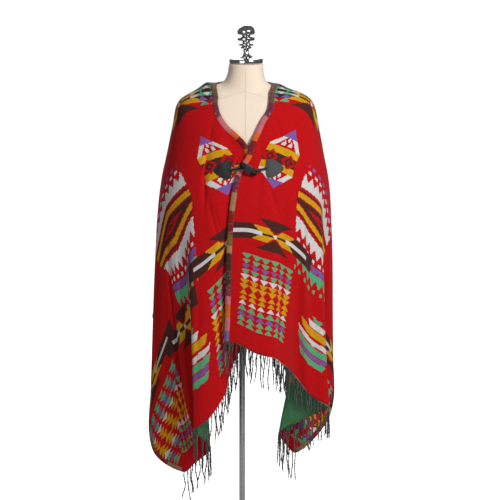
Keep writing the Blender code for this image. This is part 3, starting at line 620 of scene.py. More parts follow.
class Field:
    """A number that changes over the surface, written with ordinary arithmetic.

    A comparison gives a mask, 1 where it holds and 0 elsewhere.
    """

    def __init__(self, tree: bpy.types.NodeTree, socket: bpy.types.NodeSocket) -> None:
        """Wraps a socket of a node tree."""
        self.tree, self.socket = tree, socket

    def math(self, operation: str, *others: "Field | float", clamp: bool = False) -> "Field":
        """A Math node on this value and up to two others.

        Args:
            operation: The node's operation.
            others: The values after this one.
            clamp: Whether the result stays within 0 to 1.

        Returns:
            The node's result.
        """
        node = self.tree.nodes.new("ShaderNodeMath")
        node.operation, node.use_clamp = operation, clamp
        for slot, value in zip(node.inputs, (self, *others)):
            if isinstance(value, Field):
                self.tree.links.new(value.socket, slot)
            else:
                slot.default_value = value
        return Field(self.tree, node.outputs[0])

    def __add__(self, other: "Field | float") -> "Field":
        """The sum."""
        return self.math("ADD", other)

    def __sub__(self, other: "Field | float") -> "Field":
        """The difference."""
        return self.math("SUBTRACT", other)

    def __rsub__(self, other: float) -> "Field":
        """The difference from a number."""
        return self.math("MULTIPLY_ADD", -1.0, other)

    def __mul__(self, other: "Field | float") -> "Field":
        """The product."""
        return self.math("MULTIPLY", other)

    def __truediv__(self, other: "Field | float") -> "Field":
        """The quotient."""
        return self.math("DIVIDE", other)

    def __abs__(self) -> "Field":
        """The size without its sign."""
        return self.math("ABSOLUTE")

    def __lt__(self, other: "Field | float") -> "Field":
        """1 where it is less."""
        return self.math("LESS_THAN", other)

    def __gt__(self, other: "Field | float") -> "Field":
        """1 where it is more."""
        return self.math("GREATER_THAN", other)

    def __and__(self, other: "Field") -> "Field":
        """1 where both hold."""
        return self.math("MULTIPLY", other)

    def __or__(self, other: "Field") -> "Field":
        """1 where either holds."""
        return self.math("MAXIMUM", other)

    def stepped(self, step: float) -> "Field":
        """The middle of the step of the weave that it falls in."""
        return (self / step).math("FLOOR") * step + step / 2

    def zigzag(self, half_pitch: float) -> "Field":
        """Up and down between 0 and half_pitch."""
        return self.math("PINGPONG", half_pitch)

    def wave(self, pitch: float) -> "Field":
        """A sine of that pitch."""
        return (self * (math.tau / pitch)).math("SINE")


def mixed(share: Field, under: bpy.types.NodeSocket, over: bpy.types.NodeSocket | tuple,
          way: str = "MIX") -> bpy.types.NodeSocket:
    """One colour laid over another.

    Args:
        share: How much of the upper colour shows.
        under: The lower colour.
        over: The upper colour, as a socket or a value.
        way: The Mix node's blend type.

    Returns:
        The mixed colour.
    """
    node = share.tree.nodes.new("ShaderNodeMix")
    node.data_type, node.blend_type = "RGBA", way
    share.tree.links.new(share.socket, node.inputs["Factor"])
    share.tree.links.new(under, node.inputs["A"])
    if isinstance(over, tuple):
        node.inputs["B"].default_value = over
    else:
        share.tree.links.new(over, node.inputs["B"])
    return node.outputs["Result"]


def noise(tree: bpy.types.NodeTree, place: bpy.types.NodeSocket, scale: float,
          detail: float = 2.0) -> Field:
    """A seedless noise of a scale, from 0 to 1.

    Args:
        tree: The node tree.
        place: The place that it is read at.
        scale: How fine it is, in features to a metre.
        detail: How many finer layers it has.

    Returns:
        The noise.
    """
    node = tree.nodes.new("ShaderNodeTexNoise")
    node.inputs["Scale"].default_value = scale
    node.inputs["Detail"].default_value = detail
    tree.links.new(place, node.inputs["Vector"])
    return Field(tree, node.outputs["Fac"])


def new_group(name: str, inputs: dict[str, str], outputs: dict[str, str]) -> tuple:
    """An empty shader node group.

    Args:
        name: Its name.
        inputs: Socket names and kinds that it takes.
        outputs: Socket names and kinds that it gives.

    Returns:
        The group, its input node and its output node.
    """
    tree = bpy.data.node_groups.new(name, "ShaderNodeTree")
    for label, kind in inputs.items():
        tree.interface.new_socket(label, in_out="INPUT", socket_type=f"NodeSocket{kind}")
    for label, kind in outputs.items():
        tree.interface.new_socket(label, in_out="OUTPUT", socket_type=f"NodeSocket{kind}")
    return tree, tree.nodes.new("NodeGroupInput"), tree.nodes.new("NodeGroupOutput")


def place_group(tree: bpy.types.NodeTree, group: bpy.types.NodeTree,
                **inputs: "bpy.types.NodeSocket | Field | float | tuple") -> bpy.types.Node:
    """Places a group in a tree; an input's name has _ for each space.

    Args:
        tree: The tree that takes it.
        group: The group.
        inputs: Its inputs, by name.

    Returns:
        The group's node.
    """
    node = tree.nodes.new("ShaderNodeGroup")
    node.node_tree = group
    for label, value in inputs.items():
        slot = node.inputs[label.replace("_", " ")]
        if isinstance(value, Field):
            tree.links.new(value.socket, slot)
        elif isinstance(value, bpy.types.NodeSocket):
            tree.links.new(value, slot)
        else:
            slot.default_value = value
    return node


DYE_SOCKETS = ("Ground", "Brown", "Mustard", "White", "Purple", "Green")


class Pen:
    """Paints woven shapes about a motif's middle, one over another.

    x runs out from the slit, y from the shoulder line to the hem, both from the middle.
    """

    def __init__(self, tree: bpy.types.NodeTree, given: bpy.types.Node) -> None:
        """Reads the motif's place and colours from its group's inputs.

        Args:
            tree: The motif's node tree.
            given: The group's input node.
        """
        self.tree, self.given = tree, given
        self.x = Field(tree, given.outputs["X"])
        self.y = Field(tree, given.outputs["Y"])
        self.p, self.q = abs(self.x), abs(self.y)
        self.color = given.outputs["Under"]

    def paint(self, mask: Field, dye: str) -> None:
        """Lays a dye where the mask is 1."""
        self.color = mixed(mask, self.color, self.given.outputs[dye])


class Motif(Enum):
    """The shapes woven into the ground."""

    HEXAGON = "hexagon motif"
    SPEAR = "spear motif"
    GRID = "triangle grid"
    TUFT = "triangle tuft"
    MEDALLION = "serrated medallion"
    CHEVRON = "chevron tree"

    def draw(self, pen: Pen) -> None:
        """Draws the motif with a pen.

        Args:
            pen: The pen that draws it.
        """
        {
            Motif.HEXAGON: draw_hexagon,
            Motif.SPEAR: draw_spear,
            Motif.GRID: draw_grid,
            Motif.TUFT: draw_tuft,
            Motif.MEDALLION: draw_medallion,
            Motif.CHEVRON: draw_chevron,
        }[self](pen)


def draw_hexagon(pen: Pen) -> None:
    """A long hexagon: pale frame, purple tips, and a striped belt with two diamonds.

    Args:
        pen: The pen that draws it.
    """
    p, q = pen.p, pen.q
    inside = (p < 0.057) & (q + p * 0.95 < 0.093)
    inner = (p < 0.043) & (q + p * 0.95 < 0.075)
    belt = inside & (q < 0.037)
    pen.paint(inside, "White")
    pen.paint(inner, "Ground")
    pen.paint(inside & (q > 0.066), "Purple")
    pen.paint(belt, "Mustard")
    pen.paint(belt & (q < 0.016), "Brown")
    diamond = abs(p - 0.033) * 0.85 + q
    pen.paint(belt & (diamond < 0.024), "Ground")
    pen.paint(belt & (diamond < 0.014), "Brown")
    pen.paint(belt & (diamond < 0.006), "Ground")
    teeth = abs(p - 0.012) * 1.3 + abs(q - 0.046)
    pen.paint(inner & (q > 0.041) & (teeth < 0.011), "White")
    pen.paint(inner & (p * 1.3 + abs(q - 0.060) < 0.008), "White")


def draw_spear(pen: Pen) -> None:
    """Two feathered shafts that meet at a point, with a dark dart above and below.

    Args:
        pen: The pen that draws it.
    """
    p, q = pen.p, pen.q
    pen.paint((p > q * 1.5 + 0.045) & (p < 0.166) & (q < 0.023), "Brown")
    feather = (q < p * 0.72 + 0.002) & (p < q * 1.5 + 0.045) & (q < 0.022)
    pen.paint(feather, "Mustard")
    pen.paint((q > p * 0.58 + 0.009) & (q < 0.044), "Brown")
    pen.paint((q < 0.0045) & (p < 0.060), "Brown")
    pen.paint((q < 0.0046) & (p > 0.044) & (p < 0.132), "White")
    pen.paint(p + q < 0.008, "White")


def draw_triangles(pen: Pen, columns: int, dyes: tuple[str, ...]) -> None:
    """Columns of small triangles that point to the middle, a dye to each row.

    Args:
        pen: The pen.
        columns: How many columns on each side of the middle.
        dyes: The rows' dyes, from the middle outwards.
    """
    high, wide = 0.0155, 0.032
    across = abs((pen.x + columns * wide).math("MODULO", wide) - wide / 2)
    row = (pen.q / high).math("FLOOR")
    up = pen.q - row * high
    inside = (pen.p < columns * wide) & (pen.q < len(dyes) * high)
    triangle = inside & (across < up * 0.95 + 0.001) & (up < 0.0145)
    for number, dye in enumerate(dyes):
        pen.paint(triangle & (abs(row - float(number)) < 0.5), dye)


def draw_grid(pen: Pen) -> None:
    """Six columns of triangles."""
    draw_triangles(pen, 3, ("Mustard", "Mustard", "White", "Green", "Purple", "Green", "Green"))


def draw_tuft(pen: Pen) -> None:
    """Two short columns of triangles."""
    draw_triangles(pen, 1, ("Green", "Purple", "Green"))


def draw_medallion(pen: Pen) -> None:
    """Level bands either side of a dark middle, the pale and the green ones combed.

    Args:
        pen: The pen that draws it.
    """
    p, q = pen.p, pen.q
    out = q + p * 0.20
    comb = (pen.x + 0.4).zigzag(0.013)
    combed = out - comb * 1.9
    bands = p < 0.118 - q * 0.16
    pen.paint(bands & (out < 0.029), "Brown")
    pen.paint(bands & (out < 0.014), "Ground")
    pen.paint(bands & (out < 0.006), "Brown")
    pen.paint(bands & (out > 0.033) & (out < 0.050), "Mustard")
    pen.paint(bands & (out > 0.054) & (out < 0.060), "Brown")
    pen.paint(bands & (out > 0.068) & (combed < 0.090), "White")
    pen.paint(bands & (out > 0.121) & (out < 0.131) & (comb < 0.006), "White")
    pen.paint(bands & (out > 0.140) & (out < 0.152) & (comb > 0.007), "Purple")
    lower = bands & (pen.y > 0.0)
    pen.paint(lower & (out > 0.138) & (combed < 0.146), "Purple")
    pen.paint(lower & (out > 0.158) & (combed < 0.172), "Green")
    pen.paint(lower & (out > 0.202) & (out < 0.213) & (comb < 0.005), "Green")


def draw_chevron(pen: Pen) -> None:
    """Short bars that rise away from a stem, like a leafy tree.

    Args:
        pen: The pen that draws it.
    """
    bars = (
        ("Green", -0.062, -0.050, 0.018), ("White", -0.048, -0.030, 0.040),
        ("Mustard", -0.027, -0.006, 0.074), ("White", 0.002, 0.016, 0.080),
        ("Green", 0.021, 0.039, 0.076), ("Purple", 0.042, 0.054, 0.064),
        ("Green", 0.057, 0.073, 0.060),
    )
    leaning = pen.y + pen.p * 0.06
    for dye, top, low, long in bars:
        ragged = pen.p + (leaning - top) * 0.7
        pen.paint((leaning > top) & (leaning < low) & (ragged < long), dye)


Placed = namedtuple("Placed", "motif right_u right_v left_u left_v")
LAYOUT = (
    Placed(Motif.MEDALLION, 0.325, 0.295, 0.345, 0.268),
    Placed(Motif.HEXAGON, 0.122, 0.204, 0.117, 0.220),
    Placed(Motif.HEXAGON, 0.700, 0.205, 0.700, 0.205),
    Placed(Motif.SPEAR, 0.146, 0.435, 0.139, 0.437),
    Placed(Motif.SPEAR, 0.585, 0.610, 0.440, 0.494),
    Placed(Motif.SPEAR, 0.720, 0.455, 0.705, 0.455),
    Placed(Motif.SPEAR, 0.124, 0.010, 0.124, 0.010),
    Placed(Motif.SPEAR, 0.440, 0.010, 0.440, 0.010),
    Placed(Motif.CHEVRON, 0.376, 0.628, 0.330, 0.622),
    Placed(Motif.GRID, 0.140, 0.613, 0.136, 0.613),
    Placed(Motif.GRID, 0.800, 0.640, 0.700, 0.632),
    Placed(Motif.TUFT, 0.030, 0.000, 0.030, 0.000),
)


@dataclass
class Loom:
    """The node groups that weave the blanket's pattern and its surface."""

    step: float = 3 * MM
    twill_pitch: float = 2.6 * MM

    def __post_init__(self) -> None:
        """Builds the groups once."""
        self.motifs = {motif: self.motif_group(motif) for motif in Motif}
        self.pattern = self.pattern_group()
        self.twill = self.twill_group()

    def motif_group(self, motif: Motif) -> bpy.types.NodeTree:
        """A group that paints one motif over what lies under it.

        Args:
            motif: The motif.

        Returns:
            The group.
        """
        sockets = {"X": "Float", "Y": "Float", "Under": "Color"}
        sockets.update({dye: "Color" for dye in DYE_SOCKETS})
        tree, given, out = new_group(motif.value, sockets, {"Color": "Color"})
        pen = Pen(tree, given)
        motif.draw(pen)
        tree.links.new(pen.color, out.inputs["Color"])
        return tree

    def pattern_group(self) -> bpy.types.NodeTree:
        """The whole layout, mirrored about the slit and the shoulder line.

        Returns:
            The group.
        """
        sockets = {"Place": "Vector"}
        sockets.update({dye: "Color" for dye in DYE_SOCKETS})
        tree, given, out = new_group("blanket pattern", sockets, {"Color": "Color"})
        across, up, _ = split_place(tree, given.outputs["Place"])
        on_right = across > 0.0
        u, v = abs(across).stepped(self.step), abs(up).stepped(self.step)
        color = given.outputs["Ground"]
        for motif, right_u, right_v, left_u, left_v in LAYOUT:
            dyes = {dye: given.outputs[dye] for dye in DYE_SOCKETS}
            x = u - (on_right * (right_u - left_u) + left_u)
            y = v - (on_right * (right_v - left_v) + left_v)
            color = place_group(tree, self.motifs[motif], X=x, Y=y, Under=color,
                                **dyes).outputs["Color"]
        tree.links.new(color, out.inputs["Color"])
        return tree

    def twill_group(self) -> bpy.types.NodeTree:
        """Twill lines, felted hair and a mixed shade, from a place in metres; the twill lines also
        paint a faint highlight on each rib.

        Returns:
            The group.
        """
        tree, given, out = new_group(
            "woollen twill", {"Place": "Vector", "Color": "Color", "Pitch": "Float"},
            {"Color": "Color", "Height": "Float", "Roughness": "Float"})
        place = given.outputs["Place"]
        u, v, _ = split_place(tree, place)
        pitch = Field(tree, given.outputs["Pitch"])
        lines = ((u + v) * math.tau / pitch).math("SINE")
        picks = (v * (math.tau * 2) / pitch).math("SINE")
        hair = noise(tree, place, 900.0, 3.0)
        felt = noise(tree, place, 130.0, 2.0)
        # Hair and felt give the wool its mixed tone; the twill lines term is a faint painted
        # highlight on each rib, where the bump stands high.
        shade = hair * 0.46 + felt * 0.36 + lines * 0.06 + 0.58
        grey = tree.nodes.new("ShaderNodeCombineColor")
        for k in range(3):
            tree.links.new(shade.socket, grey.inputs[k])
        whole = hair * 0.0 + 1.0
        color = mixed(whole, given.outputs["Color"], grey.outputs[0], "MULTIPLY")
        tree.links.new(color, out.inputs["Color"])
        height = lines * 0.30 + picks * 0.12 + hair * 0.9 + felt * 0.5
        tree.links.new(height.socket, out.inputs["Height"])
        tree.links.new((hair * 0.16 + 0.80).socket, out.inputs["Roughness"])
        return tree


def new_material(name: str) -> tuple:
    """A named material, its node tree and its Principled shader.

    Args:
        name: The material's name.

    Returns:
        The material, its node tree and its shader.
    """
    material = bpy.data.materials.new(name)
    material.use_nodes = True
    tree = material.node_tree
    return material, tree, tree.nodes["Principled BSDF"]


def surface_place(tree: bpy.types.NodeTree, kind: str) -> bpy.types.NodeSocket:
    """The UV or Object coordinates of a material."""
    return tree.nodes.new("ShaderNodeTexCoord").outputs[kind]


def split_place(tree: bpy.types.NodeTree, place: bpy.types.NodeSocket) -> list[Field]:
    """The x, y and z of a place.

    Args:
        tree: The node tree.
        place: The place.

    Returns:
        The three numbers.
    """
    parts = tree.nodes.new("ShaderNodeSeparateXYZ")
    tree.links.new(place, parts.inputs[0])
    return [Field(tree, parts.outputs[axis]) for axis in "XYZ"]


def plain_color(tree: bpy.types.NodeTree, color: tuple) -> bpy.types.NodeSocket:
    """A colour of its own.

    Args:
        tree: The node tree.
        color: The colour.

    Returns:
        The colour's socket.
    """
    node = tree.nodes.new("ShaderNodeRGB")
    node.outputs[0].default_value = color
    return node.outputs[0]


def stretched(tree: bpy.types.NodeTree, place: bpy.types.NodeSocket, scale: tuple,
              turn_deg: float = 0.0) -> bpy.types.NodeSocket:
    """A place turned about y and scaled, to draw a grain out along one way.

    Args:
        tree: The node tree.
        place: The place.
        scale: The scale along x, y and z.
        turn_deg: The turn about y, in degrees.

    Returns:
        The new place.
    """
    stretch = tree.nodes.new("ShaderNodeMapping")
    stretch.inputs["Rotation"].default_value = (0, math.radians(turn_deg), 0)
    stretch.inputs["Scale"].default_value = scale
    tree.links.new(place, stretch.inputs["Vector"])
    return stretch.outputs[0]


def coat(shader: bpy.types.Node, color: bpy.types.NodeSocket, roughness: Field, height: Field,
         depth: float, **values: float) -> None:
    """Sets what a shader shows.

    Args:
        shader: The Principled shader.
        color: Its colour.
        roughness: Its roughness.
        height: The height of its bumps, from 0 to 1.
        depth: Their depth in metres.
        values: Its other inputs, with _ for each space.
    """
    tree = height.tree
    bump = tree.nodes.new("ShaderNodeBump")
    bump.inputs["Distance"].default_value = depth
    bump.inputs["Strength"].default_value = 1.0
    tree.links.new(height.socket, bump.inputs["Height"])
    tree.links.new(bump.outputs[0], shader.inputs["Normal"])
    tree.links.new(color, shader.inputs["Base Color"])
    tree.links.new(roughness.socket, shader.inputs["Roughness"])
    for name, value in values.items():
        shader.inputs[name.replace("_", " ")].default_value = value


@dataclass(frozen=True)
class BlanketFinish:
    """The woven blanket, right side or reverse, with its colours turned over."""

    name: str
    dyes: tuple[Dye, ...]
    sheen: float = 0.06

    def material(self, loom: Loom) -> bpy.types.Material:
        """The finish as a material on UV coordinates in metres.

        Args:
            loom: The loom, for its node groups.

        Returns:
            The material.
        """
        material, tree, shader = new_material(self.name)
        place = surface_place(tree, "UV")
        dyes = {socket: dye.linear for socket, dye in zip(DYE_SOCKETS, self.dyes)}
        pattern = place_group(tree, loom.pattern, Place=place, **dyes)
        twill = place_group(tree, loom.twill, Place=place, Color=pattern.outputs["Color"],
                            Pitch=loom.twill_pitch)
        coat(shader, twill.outputs["Color"], Field(tree, twill.outputs["Roughness"]),
             Field(tree, twill.outputs["Height"]), 0.35 * MM,
             Sheen_Weight=self.sheen, Sheen_Roughness=0.45, Specular_IOR_Level=0.10)
        return material


RIGHT_SIDE = BlanketFinish(
    "blanket right side",
    (Dye.RED, Dye.BROWN, Dye.MUSTARD, Dye.WHITE, Dye.PURPLE, Dye.GREEN),
)
REVERSE_SIDE = BlanketFinish(
    "blanket reverse",
    (Dye.REVERSE_GREEN, Dye.MUSTARD, Dye.BROWN, Dye.PURPLE, Dye.WHITE, Dye.RED),
)

Block = namedtuple("Block", "start dye")
SLIT_BLOCKS = (
    Block(0.000, Dye.BINDING_BROWN), Block(0.095, Dye.PLUM), Block(0.140, Dye.PINK),
    Block(0.195, Dye.ORANGE), Block(0.222, Dye.DARK_RED), Block(0.262, Dye.ORANGE),
    Block(0.285, Dye.PINK), Block(0.335, Dye.PLUM), Block(0.385, Dye.TAN),
    Block(0.440, Dye.DARK_RED), Block(0.510, Dye.OLIVE), Block(0.540, Dye.TAN),
    Block(0.566, Dye.BROWN), Block(0.660, Dye.PLUM), Block(0.690, Dye.PINK),
    Block(0.712, Dye.ORANGE), Block(0.752, Dye.PINK), Block(0.790, Dye.PURPLE),
    Block(0.822, Dye.BINDING_BROWN),
)
BLOCK_RUN = 1.0


@dataclass(frozen=True)
class BindingFinish:
    """Woven binding in blocks of colour along its length."""

    name: str
    blocks: tuple[Block, ...]
    run: float
    rib: float = 2.2 * MM

    def material(self, loom: Loom) -> bpy.types.Material:
        """The finish as a material; u runs along the binding in metres.

        Args:
            loom: The loom, for its node groups.

        Returns:
            The material.
        """
        material, tree, shader = new_material(self.name)
        place = surface_place(tree, "UV")
        along, across, _ = split_place(tree, place)
        frayed = along + (noise(tree, place, 300.0) - 0.5) * 0.008
        ramp = tree.nodes.new("ShaderNodeValToRGB")
        ramp.color_ramp.interpolation = "CONSTANT"
        stops = ramp.color_ramp.elements
        stops[0].position, stops[0].color = 0.0, self.blocks[0].dye.linear
        stops.remove(stops[1])
        for block in self.blocks[1:]:
            stops.new(block.start / self.run).color = block.dye.linear
        wrapped = (frayed / self.run).math("FRACT")
        tree.links.new(wrapped.socket, ramp.inputs[0])
        flecks = (noise(tree, place, 420.0, 1.0) > 0.60) & (noise(tree, place, 90.0) > 0.52)
        fleck = mixed(flecks, ramp.outputs[0], Dye.TAN.linear)
        dark = (noise(tree, place, 520.0, 1.0) < 0.40) & (across.wave(5 * MM) > 0.0)
        color = mixed(dark * 0.55, fleck, Dye.BLACK.linear)
        twill = place_group(tree, loom.twill, Place=place, Color=color, Pitch=self.rib)
        ribs = along.wave(self.rib) * 0.9 + Field(tree, twill.outputs["Height"])
        coat(shader, twill.outputs["Color"], Field(tree, twill.outputs["Roughness"]), ribs,
             0.35 * MM, Sheen_Weight=0.15, Specular_IOR_Level=0.2)
        return material


@dataclass(frozen=True)
class YarnFinish:
    """Plied yarn, with slanting plies, loose hairs and a painted highlight along each ply's crest.
    """

    name: str
    dye: Dye
    hair_dye: Dye
    ply_pitch: float = 3 * MM
    ply_slope: float = 0.5

    def material(self) -> bpy.types.Material:
        """The finish as a material; v runs along the yarn in metres.

        Returns:
            The material.
        """
        material, tree, shader = new_material(self.name)
        place = surface_place(tree, "UV")
        across, along, _ = split_place(tree, place)
        plies = (along + across * self.ply_slope).wave(self.ply_pitch)
        hair = noise(tree, place, 1400.0, 2.0)
        # Towards the hair colour: the noise lays loose pale hairs, and the plies term paints a
        # highlight along each ply's crest.
        light = (hair * 0.7 + plies * 0.16).math("MULTIPLY", 0.9, clamp=True)
        color = mixed(light, plain_color(tree, self.dye.linear), self.hair_dye.linear)
        coat(shader, color, hair * 0.2 + 0.72, plies * 0.5 + hair, 0.3 * MM, Sheen_Weight=0.3)
        return material


@dataclass(frozen=True)
class LeatherFinish:
    """Pebbled leather, rubbed paler where it stands proud, with painted shade in the grooves
    between pebbles.
    """

    name: str
    dye: Dye
    pebble_scale: float = 620.0

    def material(self) -> bpy.types.Material:
        """The finish as a material on Object coordinates.

        Returns:
            The material.
        """
        material, tree, shader = new_material(self.name)
        place = surface_place(tree, "Object")
        cells = tree.nodes.new("ShaderNodeTexVoronoi")
        cells.feature = "SMOOTH_F1"
        cells.inputs["Scale"].default_value = self.pebble_scale
        tree.links.new(place, cells.inputs["Vector"])
        pebble = Field(tree, cells.outputs["Distance"])
        rub = noise(tree, place, 60.0, 3.0)
        worn = mixed((rub * 1.6 - 0.60).math("MULTIPLY", 0.22, clamp=True),
                     plain_color(tree, self.dye.linear), Dye.HAIR.linear)
        # Darker towards black in the grooves between pebbles, where the bump sinks: painted shade.
        color = mixed((pebble * 0.5).math("MULTIPLY", 1.0, clamp=True), worn, Dye.BLACK.linear)
        coat(shader, color, pebble * 0.25 + rub * 0.15 + 0.46, pebble * -1.0 + rub * 0.4,
             0.25 * MM, Specular_IOR_Level=0.22)
        return material


@dataclass(frozen=True)
class HornFinish:
    """Dull dark horn with faint streaks along it."""

    name: str = "dark horn"
    streak: tuple[float, float, float, float] = (0.022, 0.024, 0.014, 1.0)

    def material(self) -> bpy.types.Material:
        """The finish as a material on Object coordinates.

        Returns:
            The material.
        """
        material, tree, shader = new_material(self.name)
        place = surface_place(tree, "Object")
        grain = noise(tree, stretched(tree, place, (0.12, 1, 1), TOGGLE_TILT_DEG), 420.0, 4.0)
        color = mixed((grain * 2.2 - 0.9).math("MULTIPLY", 0.8, clamp=True),
                      plain_color(tree, Dye.HORN.linear), self.streak)
        coat(shader, color, grain * 0.25 + 0.42, grain, 0.08 * MM, Specular_IOR_Level=0.18)
        return material


@dataclass(frozen=True)
class LinenFinish:
    """Cream linen stretched over the form, with sunken seams."""

    name: str = "form linen"
    thread: float = 0.9 * MM
    seam_half: float = 0.7 * MM
    neck_seam_z: float = 1.4225

    def material(self) -> bpy.types.Material:
        """The finish as a material on Object coordinates.

        Returns:
            The material.
        """
        material, tree, shader = new_material(self.name)
        place = surface_place(tree, "Object")
        x, y, z = split_place(tree, place)
        weave = (x + y).wave(self.thread) * z.wave(self.thread)
        slub = noise(tree, place, 350.0, 3.0)
        tint = noise(tree, place, 7.0, 2.0)
        middle = abs(x - FORM_X) / self.seam_half
        neck = abs(z + abs(x - FORM_X) * 0.30 - self.neck_seam_z) / self.seam_half
        sides = abs(abs(x - FORM_X) - (z - 0.96) * (z - 0.96) * 0.30 - 0.074) / self.seam_half
        low = (z < self.neck_seam_z)
        seam = (1 - middle).math("MAXIMUM", 0.0) | (1 - neck).math("MAXIMUM", 0.0)
        seam = seam | ((1 - sides).math("MAXIMUM", 0.0) & low)
        worn = mixed((slub * 0.5 + tint * 0.5) * 0.28, plain_color(tree, Dye.CREAM.linear),
                     (0.60, 0.50, 0.40, 1.0))
        color = mixed(seam * 0.45, worn, (0.42, 0.34, 0.27, 1.0))
        coat(shader, color, slub * 0.12 + 0.76, weave * 0.10 + slub * 0.35 - seam * 1.6,
             0.4 * MM, Sheen_Weight=0.08)
        return material


@dataclass(frozen=True)
class MetalFinish:
    """Bright plated metal, handled and finely scratched."""

    name: str
    tint: tuple[float, float, float, float]
    roughness: float

    def material(self) -> bpy.types.Material:
        """The finish as a material on Object coordinates.

        Returns:
            The material.
        """
        material, tree, shader = new_material(self.name)
        place = surface_place(tree, "Object")
        turned = noise(tree, stretched(tree, place, (1, 1, 14)), 160.0, 3.0)
        smears = noise(tree, place, 34.0, 4.0)
        dull = (smears * 2.4 - 1.1).math("MULTIPLY", 0.35, clamp=True)
        color = mixed(dull, plain_color(tree, self.tint), (0.30, 0.29, 0.28, 1.0))
        coat(shader, color, turned * 0.05 + dull * 0.4 + self.roughness, turned, 0.02 * MM,
             Metallic=1.0)
        return material


Span = namedtuple("Span", "side first last")


@dataclass
class ClothPanel:
    """One panel of the blanket, on the fold tables of its spans."""

    name: str
    spans: tuple[Span, ...]
    cut_width: float
    cut_length: float
    spacing: float = 6.2 * MM
    rows: int = 86

    def lay(self, drape: Drape) -> None:
        """Works out the panel's points, flat places and a tree for what lies on it.

        Args:
            drape: The fold tables' surface.
        """
        shares = np.linspace(0, 1, self.rows)
        points, flat = [], []
        for number, (side, first, last) in enumerate(self.spans):
            count = int(round(abs(last - first) / self.spacing)) + 1
            reaches = np.linspace(first, last, count)[min(number, 1):]
            points.append(drape.surface(side, reaches, shares))
            flat.append(drape.flat(side, reaches, shares))
        self.points, self.flat = np.concatenate(points), np.concatenate(flat)
        columns, rows = self.points.shape[:2]
        corner = np.arange(columns * rows).reshape(columns, rows)
        a, b = corner[:-1, :-1].ravel(), corner[:-1, 1:].ravel()
        c, d = corner[1:, 1:].ravel(), corner[1:, :-1].ravel()
        faces = np.stack((a, b, c, d), axis=1).tolist()
        self.tree = BVHTree.FromPolygons(self.points.reshape(-1, 3).tolist(), faces)

    def above(self, place: np.ndarray, lift: float) -> np.ndarray:
        """The panel's nearest point to a place, lifted off its middle surface."""
        spot, out, _, _ = self.tree.find_nearest(Vector(place))
        return np.array(spot + out * lift)

    def facing(self, x: float, z: float, lift: float) -> np.ndarray:
        """The panel's point straight behind a place seen from the front, lifted off it."""
        spot, out, _, _ = self.tree.ray_cast(Vector((x, -1, z)), Vector((0, 1, 0)))
        return np.array(spot + out * (lift if out.y < 0 else -lift))

    def build(self, finishes: list[bpy.types.Material]) -> bpy.types.Object:
        """Makes the panel as a thin shell, right side out.

        Args:
            finishes: The right side's finish and the reverse's.

        Returns:
            The piece.
        """
        bm = bmesh.new()
        grid_piece(bm, self.points, self.flat)
        piece = finished(f"blanket_{self.name}", bm, finishes, (self.name,))
        shell = piece.modifiers.new("cloth thickness", "SOLIDIFY")
        shell.thickness, shell.offset = CLOTH_THICK, 0.0
        shell.material_offset = 1
        self.piece = piece
        return piece

    def declare(self, trims: list[bpy.types.Object]) -> None:
        """Does nothing."""


Fold = namedtuple("Fold", "inward lift")


@dataclass
class Binding:
    """Woven binding folded over an edge of the blanket."""

    name: str
    width: float
    lift: float = 1.5 * MM
    overhang: float = 0.9 * MM

    def folds(self) -> tuple[Fold, ...]:
        """The section from the outer face round the edge to the inner face and back.

        Returns:
            The section's points.
        """
        low = CLOTH_THICK / 2 + 0.15 * MM
        high, inner = CLOTH_THICK / 2 + self.lift, self.width * 0.55
        return (
            Fold(self.width, low), Fold(self.width - 0.6 * MM, high - 0.3 * MM),
            Fold(self.width * 0.5, high), Fold(1.5 * MM, high - 0.1 * MM),
            Fold(-self.overhang, CLOTH_THICK / 2), Fold(-self.overhang * 1.4, 0.0),
            Fold(-self.overhang, -CLOTH_THICK / 2), Fold(1.5 * MM, -high + 0.3 * MM),
            Fold(inner, -high + 0.5 * MM), Fold(inner + 0.6 * MM, -low),
            Fold(inner, -low + 0.1 * MM), Fold(0.2 * MM, -low), Fold(0.1 * MM, low),
        )

    def build(self, panel: ClothPanel, edge: np.ndarray, inside: np.ndarray,
              finish: bpy.types.Material, run_from: float = 0.0) -> bpy.types.Object:
        """Makes the binding.

        Args:
            panel: The panel that it is sewn to.
            edge: Points along the cloth's edge.
            inside: Points of the cloth near them, inside the edge.
            finish: Its finish.
            run_from: Where its colour blocks begin, in metres.

        Returns:
            The piece.
        """
        along = unit(np.gradient(edge, axis=0))
        inward = inside - edge
        inward = unit(inward - along * np.sum(inward * along, axis=1, keepdims=True))
        for _ in range(3):
            inward[1:-1] = unit(inward[:-2] + inward[1:-1] * 2 + inward[2:])
        rings = []
        for place, way in zip(edge, inward):
            _, out, _, _ = panel.tree.find_nearest(Vector(place + way * 2 * MM))
            ring = []
            for inset, lift in self.folds():
                if inset > 0:
                    ring.append(panel.above(place + way * inset, lift))
                else:
                    ring.append(place + way * inset + np.array(out) * lift)
            rings.append(ring)
        bm = bmesh.new()
        rings_piece(bm, np.array(rings), 2 * self.width, run_from + lengths_along(edge))
        turn_map(bm)
        return closed_piece(f"{self.name}_binding", bm, finish, (self.name,))


@dataclass
class HemRoll:
    """Overlocked thread rolled tightly over a fringed hem."""

    name: str
    radius: float = 1.5 * MM

    def build(self, hem: np.ndarray, finish: bpy.types.Material) -> bpy.types.Object:
        """Makes the roll along a hem.

        Args:
            hem: Points along the hem.
            finish: Its finish.

        Returns:
            The piece.
        """
        bm = bmesh.new()
        radii = np.full(len(hem), self.radius)
        rings_piece(bm, round_rings(hem, radii, 6), math.tau * self.radius, lengths_along(hem))
        turn_map(bm)
        return closed_piece(self.name, bm, finish)


